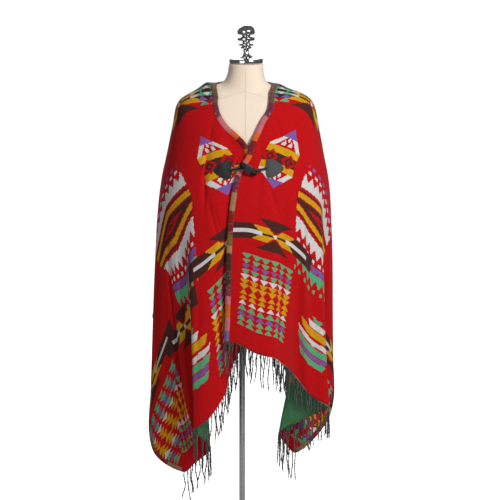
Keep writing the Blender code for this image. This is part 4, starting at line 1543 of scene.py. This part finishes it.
@dataclass
class Fringe:
    """Twisted strands that hang from a hem."""

    name: str
    pitch: float = 12.5 * MM
    length: float = 92 * MM
    ply_radius: float = 1.5 * MM
    ply_offset: float = 1.25 * MM
    sections: int = 11
    sides: int = 3
    turns: float = 4.0
    root: float = 3 * MM
    seed: int = 7
    length_shares: tuple[float, float] = (0.84, 1.10)
    away_mm: tuple[float, float] = (2, 7)
    outward_mm: tuple[float, float] = (-3, 3)
    sideways_mm: float = 4
    wave_mm: tuple[float, float] = (2.0, 5.5)
    wave_turn: tuple[float, float] = (3, 7)
    start_turn: tuple[float, float] = (0, 6)

    def strand(self, root: np.ndarray, away: np.ndarray, out: np.ndarray,
               luck: np.random.Generator) -> np.ndarray:
        """The middle line of one strand, which falls under its own weight.

        Args:
            root: Where it leaves the hem.
            away: The cloth's own way past the hem.
            out: The cloth's outward direction.
            luck: The fringe's seeded generator.

        Returns:
            The line's points.
        """
        f = np.linspace(0, 1, self.sections)[:, None]
        sideways = np.cross(out, (0, 0, 1))
        length = self.length * luck.uniform(*self.length_shares)
        lean = away * luck.uniform(*self.away_mm) * MM + out * luck.uniform(*self.outward_mm) * MM
        lean = lean + sideways * luck.normal(0, self.sideways_mm) * MM
        wave = sideways * luck.uniform(*self.wave_mm) * MM
        swing = np.sin(f * luck.uniform(*self.wave_turn) + luck.uniform(*self.start_turn))
        drop = np.array((0, 0, -1.0)) * length * f
        return root + drop + lean * np.sqrt(f) + wave * swing * np.sqrt(f)

    def build(self, hem: np.ndarray, above: np.ndarray, normals: np.ndarray,
              finish: bpy.types.Material, node: str) -> bpy.types.Object:
        """Makes the strands of one hem.

        Args:
            hem: Points along the hem.
            above: Points of the cloth just above them.
            normals: The cloth's outward directions there.
            finish: Their finish.
            node: The solid that they stand for.

        Returns:
            The piece.
        """
        run = lengths_along(hem)
        count = int(run[-1] / self.pitch)
        places = (np.arange(count) + 0.5) * run[-1] / count
        luck = np.random.default_rng(self.seed)
        places = places + luck.normal(0, 0.9 * MM, count)
        read = [read_line(values, run, places) for values in (hem, hem - above, normals)]
        bm = bmesh.new()
        for root, away, out in zip(read[0], unit(read[1]), unit(read[2])):
            line = self.strand(root - away * self.root, away, out, luck)
            turn = np.linspace(0, math.tau * self.turns, self.sections)
            turn = turn + luck.uniform(*self.start_turn)
            along = lengths_along(line)
            taper = np.interp(np.linspace(0, 1, self.sections), (0, 0.88, 1), (1, 0.95, 0.55))
            for half in (0, math.pi):
                swirl = np.stack((np.cos(turn + half), np.sin(turn + half), turn * 0), axis=1)
                ply = line + swirl * self.ply_offset * taper[:, None]
                rings = round_rings(ply, self.ply_radius * taper, self.sides)
                sleeve(bm, rings, math.tau * self.ply_radius, along)
        bmesh.ops.remove_doubles(bm, verts=bm.verts, dist=MERGE_DISTANCE)
        fill_ends(bm)
        return closed_piece(f"{self.name}_strands", bm, finish, (node,))


Spot = namedtuple("Spot", "x z")
PATCH_OUTLINE = (
    Spot(-0.019, -0.023), Spot(-0.004, -0.026), Spot(0.014, -0.017), Spot(0.029, -0.002),
    Spot(0.016, 0.015), Spot(-0.002, 0.024), Spot(-0.019, 0.022), Spot(-0.022, 0.000),
)


@dataclass
class LeatherPatch:
    """A leaf-shaped patch that anchors a toggle cord, stitched round its rim."""

    name: str
    middle: Spot
    flip: int
    lift: float = 1.6 * MM
    thick: float = 2.2 * MM
    outline_points: int = 64
    stitches: int = 34
    stitch_share: float = 0.86
    stitch_radius: float = 0.45 * MM

    def outline(self) -> np.ndarray:
        """The rim as x and z about the middle.

        Returns:
            The outline's points.
        """
        spots = np.array([(s.x * self.flip, s.z) for s in PATCH_OUTLINE])
        loop = np.concatenate((spots[-2:], spots, spots[:3]))
        at = np.linspace(0, len(spots), self.outline_points, endpoint=False)
        return smooth_read(np.arange(-2.0, len(spots) + 3.0), loop, at)

    def rim(self, panel: ClothPanel, share: float, lift: float) -> np.ndarray:
        """A ring of the patch at a share of its outline and a height off the cloth.

        Args:
            panel: The panel that the patch is sewn to.
            share: The ring's size as a share of the outline.
            lift: Its height off the cloth's middle surface.

        Returns:
            The ring's points.
        """
        return np.array([
            panel.facing(self.middle.x + x * share, self.middle.z + z * share, lift)
            for x, z in self.outline()
        ])

    def build(self, panel: ClothPanel, leather: bpy.types.Material,
              thread: bpy.types.Material) -> None:
        """Makes the patch and its stitches.

        Args:
            panel: The panel that it lies on.
            leather: The patch's finish.
            thread: The stitches' finish.
        """
        top = self.lift + self.thick
        stack = (
            (0.5, self.lift), (0.94, self.lift), (1.0, self.lift + 0.4 * MM),
            (1.01, top - 0.7 * MM), (0.985, top - 0.1 * MM), (0.94, top + 0.1 * MM),
            (0.89, top - 0.25 * MM), (0.84, top - 0.25 * MM), (0.79, top + 0.15 * MM),
            (0.5, top + 0.5 * MM), (0.2, top + 0.6 * MM),
        )
        bm = bmesh.new()
        rings = np.array([self.rim(panel, share, lift) for share, lift in stack])
        rings_piece(bm, rings, 0.1, np.linspace(0, 0.03, len(rings)))
        closed_piece(f"{self.name}_cut", bm, leather, (self.name,))
        seam = self.rim(panel, self.stitch_share, top + 0.1 * MM)
        closed = np.concatenate((seam, seam[:1]))
        run = lengths_along(closed)
        bm = bmesh.new()
        gap = run[-1] / self.stitches
        radii = self.stitch_radius * np.array((0.5, 0.95, 1.0, 0.95, 0.5))
        for k in range(self.stitches):
            at = np.linspace(k * gap + gap * 0.16, k * gap + gap * 0.84, 5)
            rings_piece(bm, round_rings(read_line(closed, run, at), radii, 6), 0.003, at)
        closed_piece(f"{self.name}_stitches", bm, thread)


@dataclass
class Toggle:
    """A barrel of horn, bound round its middle, with a twisted cord to each patch."""

    middle: Spot = Spot(0.019, 1.207)
    length: float = 0.058
    radius: float = 0.0098
    tilt_deg: float = TOGGLE_TILT_DEG
    cord_ply: float = 1.9 * MM
    steps: int = 28
    wrap_turns: int = 6
    wrap_cord: float = 1.9 * MM
    patch_side: float = 0.0225
    right_patch: Spot = Spot(0.092, 1.207)
    left_patch: Spot = Spot(-0.052, 1.202)

    def settle(self, panel: ClothPanel) -> None:
        """Finds where the toggle rests on the lapped fronts.

        Args:
            panel: The panel that it lies on.
        """
        spot = panel.facing(self.middle.x, self.middle.z, CLOTH_THICK / 2)
        self.centre = np.array((spot[0], spot[1] - self.radius - 2.5 * MM, spot[2]))
        tilt = math.radians(self.tilt_deg)
        self.way = np.array((math.cos(tilt), 0.0, -math.sin(tilt)))

    def horn(self, finish: bpy.types.Material) -> bpy.types.Object:
        """Turns the barrel and lays it in place.

        Args:
            finish: Its finish.

        Returns:
            The piece.
        """
        shape = ((0.0, -0.5), (0.30, -0.5), (0.55, -0.485), (0.74, -0.455), (0.92, -0.36),
                 (1.0, -0.18), (0.92, -0.10), (0.90, 0.0), (0.92, 0.10), (1.0, 0.18),
                 (0.92, 0.36), (0.74, 0.455), (0.55, 0.485), (0.30, 0.5), (0.0, 0.5))
        bm = bmesh.new()
        spin_profile(bm, [(wide * self.radius, at * self.length) for wide, at in shape],
                     self.steps)
        bmesh.ops.recalc_face_normals(bm, faces=bm.faces)
        turn = Vector((0, 0, 1)).rotation_difference(Vector(self.way))
        bmesh.ops.rotate(bm, verts=bm.verts, cent=(0, 0, 0), matrix=turn.to_matrix())
        bmesh.ops.translate(bm, verts=bm.verts, vec=Vector(self.centre))
        piece = finished("toggle_horn", bm, [finish], ("toggle",))
        add_subdivision(piece, 1)
        return piece

    def binding(self, finish: bpy.types.Material) -> bpy.types.Object:
        """Winds the cord round the barrel's waist.

        Args:
            finish: Its finish.

        Returns:
            The piece.
        """
        turns = np.linspace(0, math.tau * self.wrap_turns, self.wrap_turns * 20)
        side = unit(np.cross(self.way, (0, 1, 0)))
        up = np.cross(self.way, side)
        pitch = self.wrap_cord * 1.85
        at = (turns / math.tau - self.wrap_turns / 2) * pitch
        reach = self.radius * 0.9 + self.wrap_cord * 0.75
        line = (self.centre + at[:, None] * self.way
                + reach * (np.cos(turns)[:, None] * side + np.sin(turns)[:, None] * up))
        bm = bmesh.new()
        rings = round_rings(line, np.full(len(line), self.wrap_cord), 8)
        rings_piece(bm, rings, math.tau * self.wrap_cord, lengths_along(line))
        return closed_piece("toggle_binding", bm, finish)

    def cord(self, side: Side, panel: ClothPanel,
             finish: bpy.types.Material) -> bpy.types.Object:
        """Lays a twisted cord from a patch to the barrel.

        Args:
            side: Which half of the cloth.
            panel: The panel that it lies on.
            finish: The cord's finish.

        Returns:
            The piece.
        """
        patch = self.right_patch if side is Side.RIGHT else self.left_patch
        start_x = patch.x - side.sign * (self.patch_side - 6 * MM)
        begin = panel.facing(start_x, patch.z, CLOTH_THICK / 2 + 5.5 * MM)
        end = self.centre + self.way * side.sign * 9 * MM
        f = np.linspace(0, 1, 26)[:, None]
        sag = np.array((0, -0.6, -1.0)) * 1.2 * MM * np.sin(math.pi * f)
        line = begin + (end - begin) * f + sag
        along = lengths_along(line)
        turn = np.linspace(0, math.tau * 3.2, len(line))
        bm = bmesh.new()
        for third in range(3):
            angle = turn + math.tau * third / 3
            swirl = np.stack((angle * 0, np.cos(angle), np.sin(angle)), axis=1)
            ply = line + swirl * self.cord_ply
            rings_piece(bm, round_rings(ply, np.full(len(ply), self.cord_ply), 8),
                        math.tau * self.cord_ply, along)
        name = f"toggle_cord_{side.value}"
        return closed_piece(f"{name}_plies", bm, finish, (name,))


Section = namedtuple("Section", "z half_width front_y back_y")


@dataclass
class DressForm:
    """The limbless form: neck, shoulders and body in one smooth shape."""

    sides: int = 48
    neck_radius: float = 0.051
    neck_top_z: float = 1.500
    under_cloth: float = 1.5 * MM
    under_shoulder: float = 0.4 * MM
    ease: float = 7 * MM
    tip_ease: float = 11 * MM
    torso: tuple[Section, ...] = (
        Section(1.230, 0.176, -0.112, 0.112), Section(1.150, 0.168, -0.118, 0.104),
        Section(1.050, 0.140, -0.096, 0.090), Section(0.960, 0.132, -0.090, 0.090),
        Section(0.870, 0.158, -0.098, 0.112), Section(0.800, 0.172, -0.102, 0.122),
        Section(0.775, 0.164, -0.094, 0.114),
    )

    def bearings(self) -> tuple[np.ndarray, np.ndarray]:
        """Sines and cosines once round, from the front."""
        turn = np.linspace(0, math.tau, self.sides, endpoint=False)
        return np.sin(turn), np.cos(turn)

    def level_ring(self, level: float) -> np.ndarray:
        """A ring just under the cloth at one shoulder level.

        Args:
            level: The shoulder level.

        Returns:
            The ring's points.
        """
        row = smooth_read(LEVEL_PLACES, LEVEL_VALUES, np.array(level))
        right_x, left_x, side_z, front_y, front_z, back_y, back_z = row
        s, c = self.bearings()
        wide, deep = signed_power(s, 2 / ROUNDNESS), signed_power(c, 2 / ROUNDNESS)
        across = np.where(s >= 0, right_x, left_x)
        depth, end_z = np.where(c > 0, -front_y, back_y), np.where(c > 0, front_z, back_z)
        x = FORM_X * (1 - np.abs(wide)) * (1 - level / LAST_LEVEL) + across * wide
        y = -depth * deep
        z = side_z + (end_z - side_z) * c * c
        outward = unit(np.stack((x - FORM_X, y, np.full_like(x, 0.10)), axis=-1))
        tip = min(max(level - 1, 0) / 1.5, 1)
        clear = self.under_cloth + self.ease * c * c + self.tip_ease * tip * s * s
        ring = np.stack((x, y, z - self.under_shoulder), axis=-1)
        return ring - outward * clear[:, None]

    def flat_ring(self, middle_x: float, half: float, front_y: float, back_y: float,
                  z: float) -> np.ndarray:
        """A level ring.

        Args:
            middle_x: The ring's middle.
            half: Half its width.
            front_y: How far forward it reaches.
            back_y: How far back it reaches.
            z: Its height.

        Returns:
            The ring's points.
        """
        s, c = self.bearings()
        deep = np.abs(c) ** (2 / ROUNDNESS) * np.where(c > 0, front_y, back_y)
        x = middle_x + half * signed_power(s, 2 / ROUNDNESS)
        return np.stack((x, deep, np.full_like(x, z)), axis=-1)

    def build(self, finish: bpy.types.Material) -> bpy.types.Object:
        """Makes the form.

        Args:
            finish: Its finish.

        Returns:
            The piece.
        """
        neck = self.neck_radius
        rings = [
            self.flat_ring(NECK_AXIS_X, neck * 0.5, -neck * 0.5, neck * 0.5, self.neck_top_z),
            self.flat_ring(NECK_AXIS_X, neck * 0.97, -neck * 0.97, neck * 0.97, self.neck_top_z),
            self.flat_ring(NECK_AXIS_X, neck, -neck, neck, self.neck_top_z - 1.5 * MM),
            self.flat_ring(NECK_AXIS_X - 1 * MM, neck + 1 * MM, -neck, neck + 1 * MM, 1.478),
            self.flat_ring(NECK_AXIS_X - 2 * MM, neck + 6 * MM, -neck, neck + 3 * MM, 1.455),
        ]
        rings += [self.level_ring(level) for level in (0.0, 0.5, 1.0, 1.5, 2.0, 2.5, 3.0)]
        first = self.torso[0]
        below = self.flat_ring(FORM_X, first.half_width, first.front_y, first.back_y, first.z)
        rings.append(self.level_ring(3.5) * 0.55 + below * 0.45)
        rings += [self.flat_ring(FORM_X * 0.8, row.half_width, row.front_y, row.back_y, row.z)
                  for row in self.torso]
        last = rings[-1]
        middle = last.mean(axis=0)
        rings.append(middle + (last - middle) * 0.98 - np.array((0, 0, 0.2 * MM)))
        bm = bmesh.new()
        rings_piece(bm, np.array(rings), 1.0, np.linspace(0, 1, len(rings)))
        piece = closed_piece("dress_form", bm, finish, ("form_torso",))
        add_subdivision(piece, 2)
        return piece


Turn = namedtuple("Turn", "r z")


@dataclass
class TurnedPart:
    """A metal part turned about an upright axis."""

    name: str
    node: str
    profile: tuple[Turn, ...]
    middle_x: float
    steps: int = 64
    bevel: float = 0.9 * MM

    def build(self, finish: bpy.types.Material) -> bpy.types.Object:
        """Turns the profile and rounds its edges.

        Args:
            finish: Its finish.

        Returns:
            The piece.
        """
        bm = bmesh.new()
        spin_profile(bm, list(self.profile), self.steps)
        bmesh.ops.translate(bm, verts=bm.verts, vec=(self.middle_x, 0, 0))
        piece = closed_piece(self.name, bm, finish, (self.node,))
        add_bevel(piece, self.bevel)
        return piece


def dome(radius: float, low_z: float, top_z: float, steps: int = 10) -> tuple[Turn, ...]:
    """The upper half of an egg, from its top down to its widest ring."""
    turn = np.linspace(0, math.pi / 2, steps)
    return tuple(Turn(radius * math.sin(a), low_z + (top_z - low_z) * math.cos(a)) for a in turn)


FINIAL = dome(0.0258, 1.5930, 1.6140) + (
    Turn(0.0252, 1.5880), Turn(0.0225, 1.5850), Turn(0.0120, 1.5835), Turn(0.0120, 1.5790),
    Turn(0.0235, 1.5765), Turn(0.0250, 1.5750), Turn(0.0250, 1.5690), Turn(0.0235, 1.5675),
    Turn(0.0110, 1.5650), Turn(0.0110, 1.5600), Turn(0.0203, 1.5585), Turn(0.0215, 1.5573),
    Turn(0.0215, 1.5537), Turn(0.0203, 1.5525), Turn(0.0100, 1.5510), Turn(0.0150, 1.5490),
    Turn(0.0160, 1.5480), Turn(0.0160, 1.5450), Turn(0.0150, 1.5440), Turn(0.0078, 1.5420),
    Turn(0.0078, 1.5300), Turn(0.0110, 1.5250), Turn(0.0185, 1.5200), Turn(0.0185, 1.5168),
    Turn(0.0000, 1.5168),
)
CAP = (
    Turn(0.0000, 1.5160), Turn(0.0440, 1.5160), Turn(0.0480, 1.5148), Turn(0.0495, 1.5115),
    Turn(0.0495, 1.5030), Turn(0.0475, 1.5003), Turn(0.0000, 1.5003),
)
POLE = (Turn(0.0, 0.7747), Turn(0.009, 0.7747), Turn(0.009, 0.0603), Turn(0.0, 0.0603))
BASE = (
    Turn(0.0000, 0.0600), Turn(0.0150, 0.0600), Turn(0.0170, 0.0560), Turn(0.0170, 0.0240),
    Turn(0.0200, 0.0190), Turn(0.0300, 0.0150), Turn(0.0900, 0.0130), Turn(0.1550, 0.0110),
    Turn(0.1620, 0.0095), Turn(0.1645, 0.0060), Turn(0.1650, 0.0000), Turn(0.0000, 0.0000),
)


Lamp = namedtuple("Lamp", "name place size power")


@dataclass
class Studio:
    """A pale floor, plain soft light and the camera."""

    floor_size: float = 60.0
    floor_glow: float = 1.0
    room_light: float = 0.13
    target: tuple[float, float, float] = (0.024, 0.0, 0.94)
    distance: float = 6.0
    elevation_deg: float = 10.5
    lens: float = 144.0
    lit_z: float = 0.95
    lamps: tuple[Lamp, ...] = (
        Lamp("key_light", (1.9, -2.4, 2.8), 0.8, 104),
        Lamp("fill_light", (-2.0, -3.8, 1.8), 2.4, 30),
        Lamp("back_light", (-0.6, 3.0, 2.8), 2.4, 78),
    )

    def floor(self) -> None:
        """Lays the floor."""
        bm = bmesh.new()
        bmesh.ops.create_grid(bm, x_segments=4, y_segments=4, size=self.floor_size / 2)
        mesh = bpy.data.meshes.new("studio_floor")
        bm.to_mesh(mesh)
        bm.free()
        material, tree, shader = new_material("studio floor")
        shader.inputs["Base Color"].default_value = (0.45, 0.45, 0.45, 1)
        shader.inputs["Roughness"].default_value = 0.85
        shader.inputs["Emission Color"].default_value = (1, 1, 1, 1)
        seen = Field(tree, tree.nodes.new("ShaderNodeLightPath").outputs["Is Camera Ray"])
        tree.links.new((seen * self.floor_glow).socket, shader.inputs["Emission Strength"])
        mesh.materials.append(material)
        floor = bpy.data.objects.new("studio_floor", mesh)
        bpy.context.scene.collection.objects.link(floor)

    def light(self, lamp: Lamp) -> None:
        """Hangs a square soft box that faces the cloth.

        Args:
            lamp: The lamp's row.
        """
        box = bpy.data.lights.new(lamp.name, "AREA")
        box.size, box.energy = lamp.size, lamp.power
        holder = bpy.data.objects.new(lamp.name, box)
        holder.location = lamp.place
        way = Vector((0.0, 0.0, self.lit_z)) - Vector(lamp.place)
        holder.rotation_euler = way.to_track_quat("-Z", "Y").to_euler()
        bpy.context.scene.collection.objects.link(holder)

    def camera(self) -> None:
        """Sets the camera at the photograph's view."""
        lens = bpy.data.cameras.new("camera")
        lens.lens, lens.sensor_width = self.lens, 36.0
        camera = bpy.data.objects.new("camera", lens)
        rise = math.radians(self.elevation_deg)
        target = Vector(self.target)
        camera.location = target + self.distance * Vector((0, -math.cos(rise), math.sin(rise)))
        camera.rotation_euler = (target - camera.location).to_track_quat("-Z", "Y").to_euler()
        bpy.context.scene.collection.objects.link(camera)
        bpy.context.scene.camera = camera

    def build(self) -> None:
        """Sets the whole studio."""
        self.floor()
        for lamp in self.lamps:
            self.light(lamp)
        world = bpy.data.worlds.new("studio_world")
        world.use_nodes = True
        sky = world.node_tree.nodes["Background"]
        sky.inputs[0].default_value = (1, 1, 1, 1)
        seen = Field(world.node_tree,
                     world.node_tree.nodes.new("ShaderNodeLightPath").outputs["Is Camera Ray"])
        glow = seen * (1.0 - self.room_light) + self.room_light
        world.node_tree.links.new(glow.socket, sky.inputs[1])
        bpy.context.scene.world = world
        bpy.context.scene.view_settings.view_transform = "Standard"
        self.camera()


@dataclass
class Poncho:
    """The blanket with its bindings, hems, fringe and fastening."""

    drape: Drape = field(default_factory=Drape)
    loom: Loom = field(default_factory=Loom)
    hem_spacing: float = 5 * MM
    near_edge: float = 0.015
    slit_binding_width: float = 15 * MM
    side_binding_width: float = 13 * MM
    neck_blocks_from: float = 0.62
    side_blocks_from: float = 0.39

    def dress(self) -> None:
        """Makes the finishes."""
        self.cloth = [finish.material(self.loom) for finish in (RIGHT_SIDE, REVERSE_SIDE)]
        self.binding = BindingFinish("slit binding", SLIT_BLOCKS, BLOCK_RUN).material(self.loom)
        self.yarn = YarnFinish("fringe yarn", Dye.BLACK, Dye.HAIR).material()
        self.cord = YarnFinish("toggle cord", Dye.DEEP_BLACK, Dye.BLACK, 2.4 * MM).material()
        self.thread = YarnFinish("patch thread", Dye.DEEP_BLACK, Dye.HAIR, 1.2 * MM).material()

    def panels(self) -> None:
        """Lays and builds the three panels."""
        right, left = Side.RIGHT, Side.LEFT
        self.right = ClothPanel("front_right", (Span(right, 0, SHOULDER_REACH),), *FRONT_CUT)
        self.left = ClothPanel("front_left", (Span(left, SHOULDER_REACH, 0),), *FRONT_CUT)
        self.back = ClothPanel(
            "back", (Span(right, SHOULDER_REACH, FULL_REACH),
                     Span(left, FULL_REACH, SHOULDER_REACH)), *BACK_CUT, spacing=7.2 * MM)
        for panel in (self.right, self.left, self.back):
            panel.lay(self.drape)
            panel.build(self.cloth)

    def line(self, side: Side, first: float, last: float, share: float) -> np.ndarray:
        """Points across the columns at one share of their length.

        Args:
            side: Which half of the cloth.
            first: The first way along the cut edge.
            last: The last way along it.
            share: The share of each column's length.

        Returns:
            The points.
        """
        count = max(4, int(abs(last - first) / self.hem_spacing))
        reaches = np.linspace(first, last, count)
        return self.drape.surface(side, reaches, np.array((share, 0.97 * share + 0.01)))[:, 0]

    def slit_binding(self, panel: ClothPanel, side: Side) -> bpy.types.Object:
        """Binds one edge of the slit, from the shoulder line down to the hem.

        Args:
            panel: The panel that it is sewn to.
            side: Which half of the cloth.

        Returns:
            The piece.
        """
        reaches = np.linspace(SHOULDER_REACH - SEAM_HALF_GAP, 0, 150)
        shares = np.linspace(0, 1, 130)
        pair = self.drape.surface(side, reaches, np.array((0.0, 0.03)))
        slit = self.drape.surface(side, np.array((0.0, self.near_edge)), shares)
        edge = np.concatenate((pair[:, 0], slit[0][1:]))
        inside = np.concatenate((pair[:, 1], slit[1][1:]))
        return Binding(f"slit_edging_{side.value}", self.slit_binding_width).build(
            panel, edge, inside, self.binding)

    def neck_binding(self) -> bpy.types.Object:
        """Binds the edge behind the neck.

        Returns:
            The piece.
        """
        reaches = np.linspace(SHOULDER_REACH + SEAM_HALF_GAP, FULL_REACH, 90)
        shares = np.array((0.0, 0.03))
        right = self.drape.surface(Side.RIGHT, reaches, shares)
        left = self.drape.surface(Side.LEFT, reaches, shares)[::-1]
        both = np.concatenate((right, left[1:]))
        return Binding("neck_edging_back", self.slit_binding_width).build(
            self.back, both[:, 0], both[:, 1], self.binding, self.neck_blocks_from)

    def side_binding(self, panel: ClothPanel, side: Side, first: float, last: float,
                     name: str) -> bpy.types.Object:
        """Binds a side edge between two ways along the cut edge.

        Args:
            panel: The panel that it is sewn to.
            side: Which half of the cloth.
            first: The first way along the cut edge.
            last: The last way along it.
            name: The binding's name.

        Returns:
            The piece.
        """
        reaches = np.linspace(first, last, 120)
        pair = self.drape.surface(side, reaches, np.array((0.985, 1.0)))
        return Binding(name, self.side_binding_width).build(
            panel, pair[:, 1], pair[:, 0], self.binding, self.side_blocks_from)

    def hem(self, ends: tuple[Span, ...]) -> tuple[np.ndarray, np.ndarray, np.ndarray]:
        """A hem's points, points just above them and the cloth's outward directions.

        Args:
            ends: The hem's spans, in order.

        Returns:
            The three, each as an array of points.
        """
        hems, above, normals = [], [], []
        for number, (side, first, last) in enumerate(ends):
            count = int(abs(last - first) / self.hem_spacing) + 1
            reaches = np.linspace(first, last, count)[min(number, 1):]
            grid = self.drape.surface(side, reaches, np.array((0.97, 0.985, 1.0)))
            out = unit(np.cross(np.gradient(grid, axis=1), np.gradient(grid, axis=0)))
            hems.append(grid[:, 2])
            above.append(grid[:, 1])
            normals.append(out[:, 2])
        return tuple(np.concatenate(parts) for parts in (hems, above, normals))

    def fastening(self) -> None:
        """Makes the patches, toggle and cords."""
        # The right patch's paler leather colour is a painted sheen on the same leather as the left.
        leathers = {Side.RIGHT: LeatherFinish("right patch leather with painted sheen", Dye.RIGHT_LEATHER_PAINTED_SHEEN),
                    Side.LEFT: LeatherFinish("left patch leather", Dye.LEFT_LEATHER)}
        toggle = Toggle()
        toggle.settle(self.right)
        for panel, side, spot in ((self.right, Side.RIGHT, toggle.right_patch),
                                  (self.left, Side.LEFT, toggle.left_patch)):
            patch = LeatherPatch(f"leather_patch_{side.value}", spot, side.sign)
            patch.build(panel, leathers[side].material(), self.thread)
            toggle.cord(side, panel, self.cord)
        toggle.horn(HornFinish().material())
        toggle.binding(self.cord)

    def build(self) -> None:
        """Builds everything."""
        self.dress()
        self.panels()
        trims: dict[str, list[bpy.types.Object]] = {}
        for panel, side in ((self.right, Side.RIGHT), (self.left, Side.LEFT)):
            mine = [self.slit_binding(panel, side)]
            mine.append(self.side_binding(panel, side, CORNER_REACH, SHOULDER_REACH - SEAM_HALF_GAP,
                                          f"side_edging_front_{side.value}"))
            hem, above, out = self.hem((Span(side, 0, CORNER_REACH),))
            mine.append(Fringe(f"fringe_{side.value}", seed=7 + side.sign).build(
                hem, above, out, self.yarn, f"fringe_{side.value}"))
            mine.append(HemRoll(f"hem_roll_{side.value}").build(hem, self.binding))
            trims[panel.name] = mine
        mine = [self.neck_binding()]
        for side in Side:
            mine.append(self.side_binding(self.back, side, SHOULDER_REACH + SEAM_HALF_GAP,
                                          BACK_CORNER_REACH, f"side_edging_back_{side.value}"))
        hem, above, out = self.hem((Span(Side.RIGHT, BACK_CORNER_REACH, FULL_REACH),
                                    Span(Side.LEFT, FULL_REACH, BACK_CORNER_REACH)))
        mine.append(Fringe("fringe_back", seed=3).build(hem, above, out, self.yarn,
                                                        "fringe_back"))
        mine.append(HemRoll("hem_roll_back").build(hem, self.binding))
        trims["back"] = mine
        self.fastening()
        for panel in (self.right, self.left, self.back):
            panel.declare(trims[panel.name])


def build_stand() -> None:
    """Builds the dress form and its stand."""
    DressForm().build(LinenFinish().material())
    chrome = MetalFinish("polished finial metal", (0.66, 0.66, 0.67, 1.0), 0.10).material()
    steel = MetalFinish("brushed stand metal", (0.58, 0.58, 0.59, 1.0), 0.24).material()
    TurnedPart("neck_cap_turned", "neck_cap", CAP, NECK_AXIS_X).build(chrome)
    TurnedPart("finial_turned", "finial", FINIAL, NECK_AXIS_X, bevel=0.5 * MM).build(chrome)
    TurnedPart("stand_pole_tube", "stand_pole", POLE, 0.0, bevel=0.4 * MM).build(steel)
    TurnedPart("stand_base_disc", "stand_base", BASE, 0.0).build(steel)


def main() -> None:
    """Builds the scene."""
    logging.basicConfig(level=logging.INFO, format="%(message)s")
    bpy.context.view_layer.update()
    build_stand()
    Poncho().build()
    Studio().build()


if __name__ == "__main__":
    main()
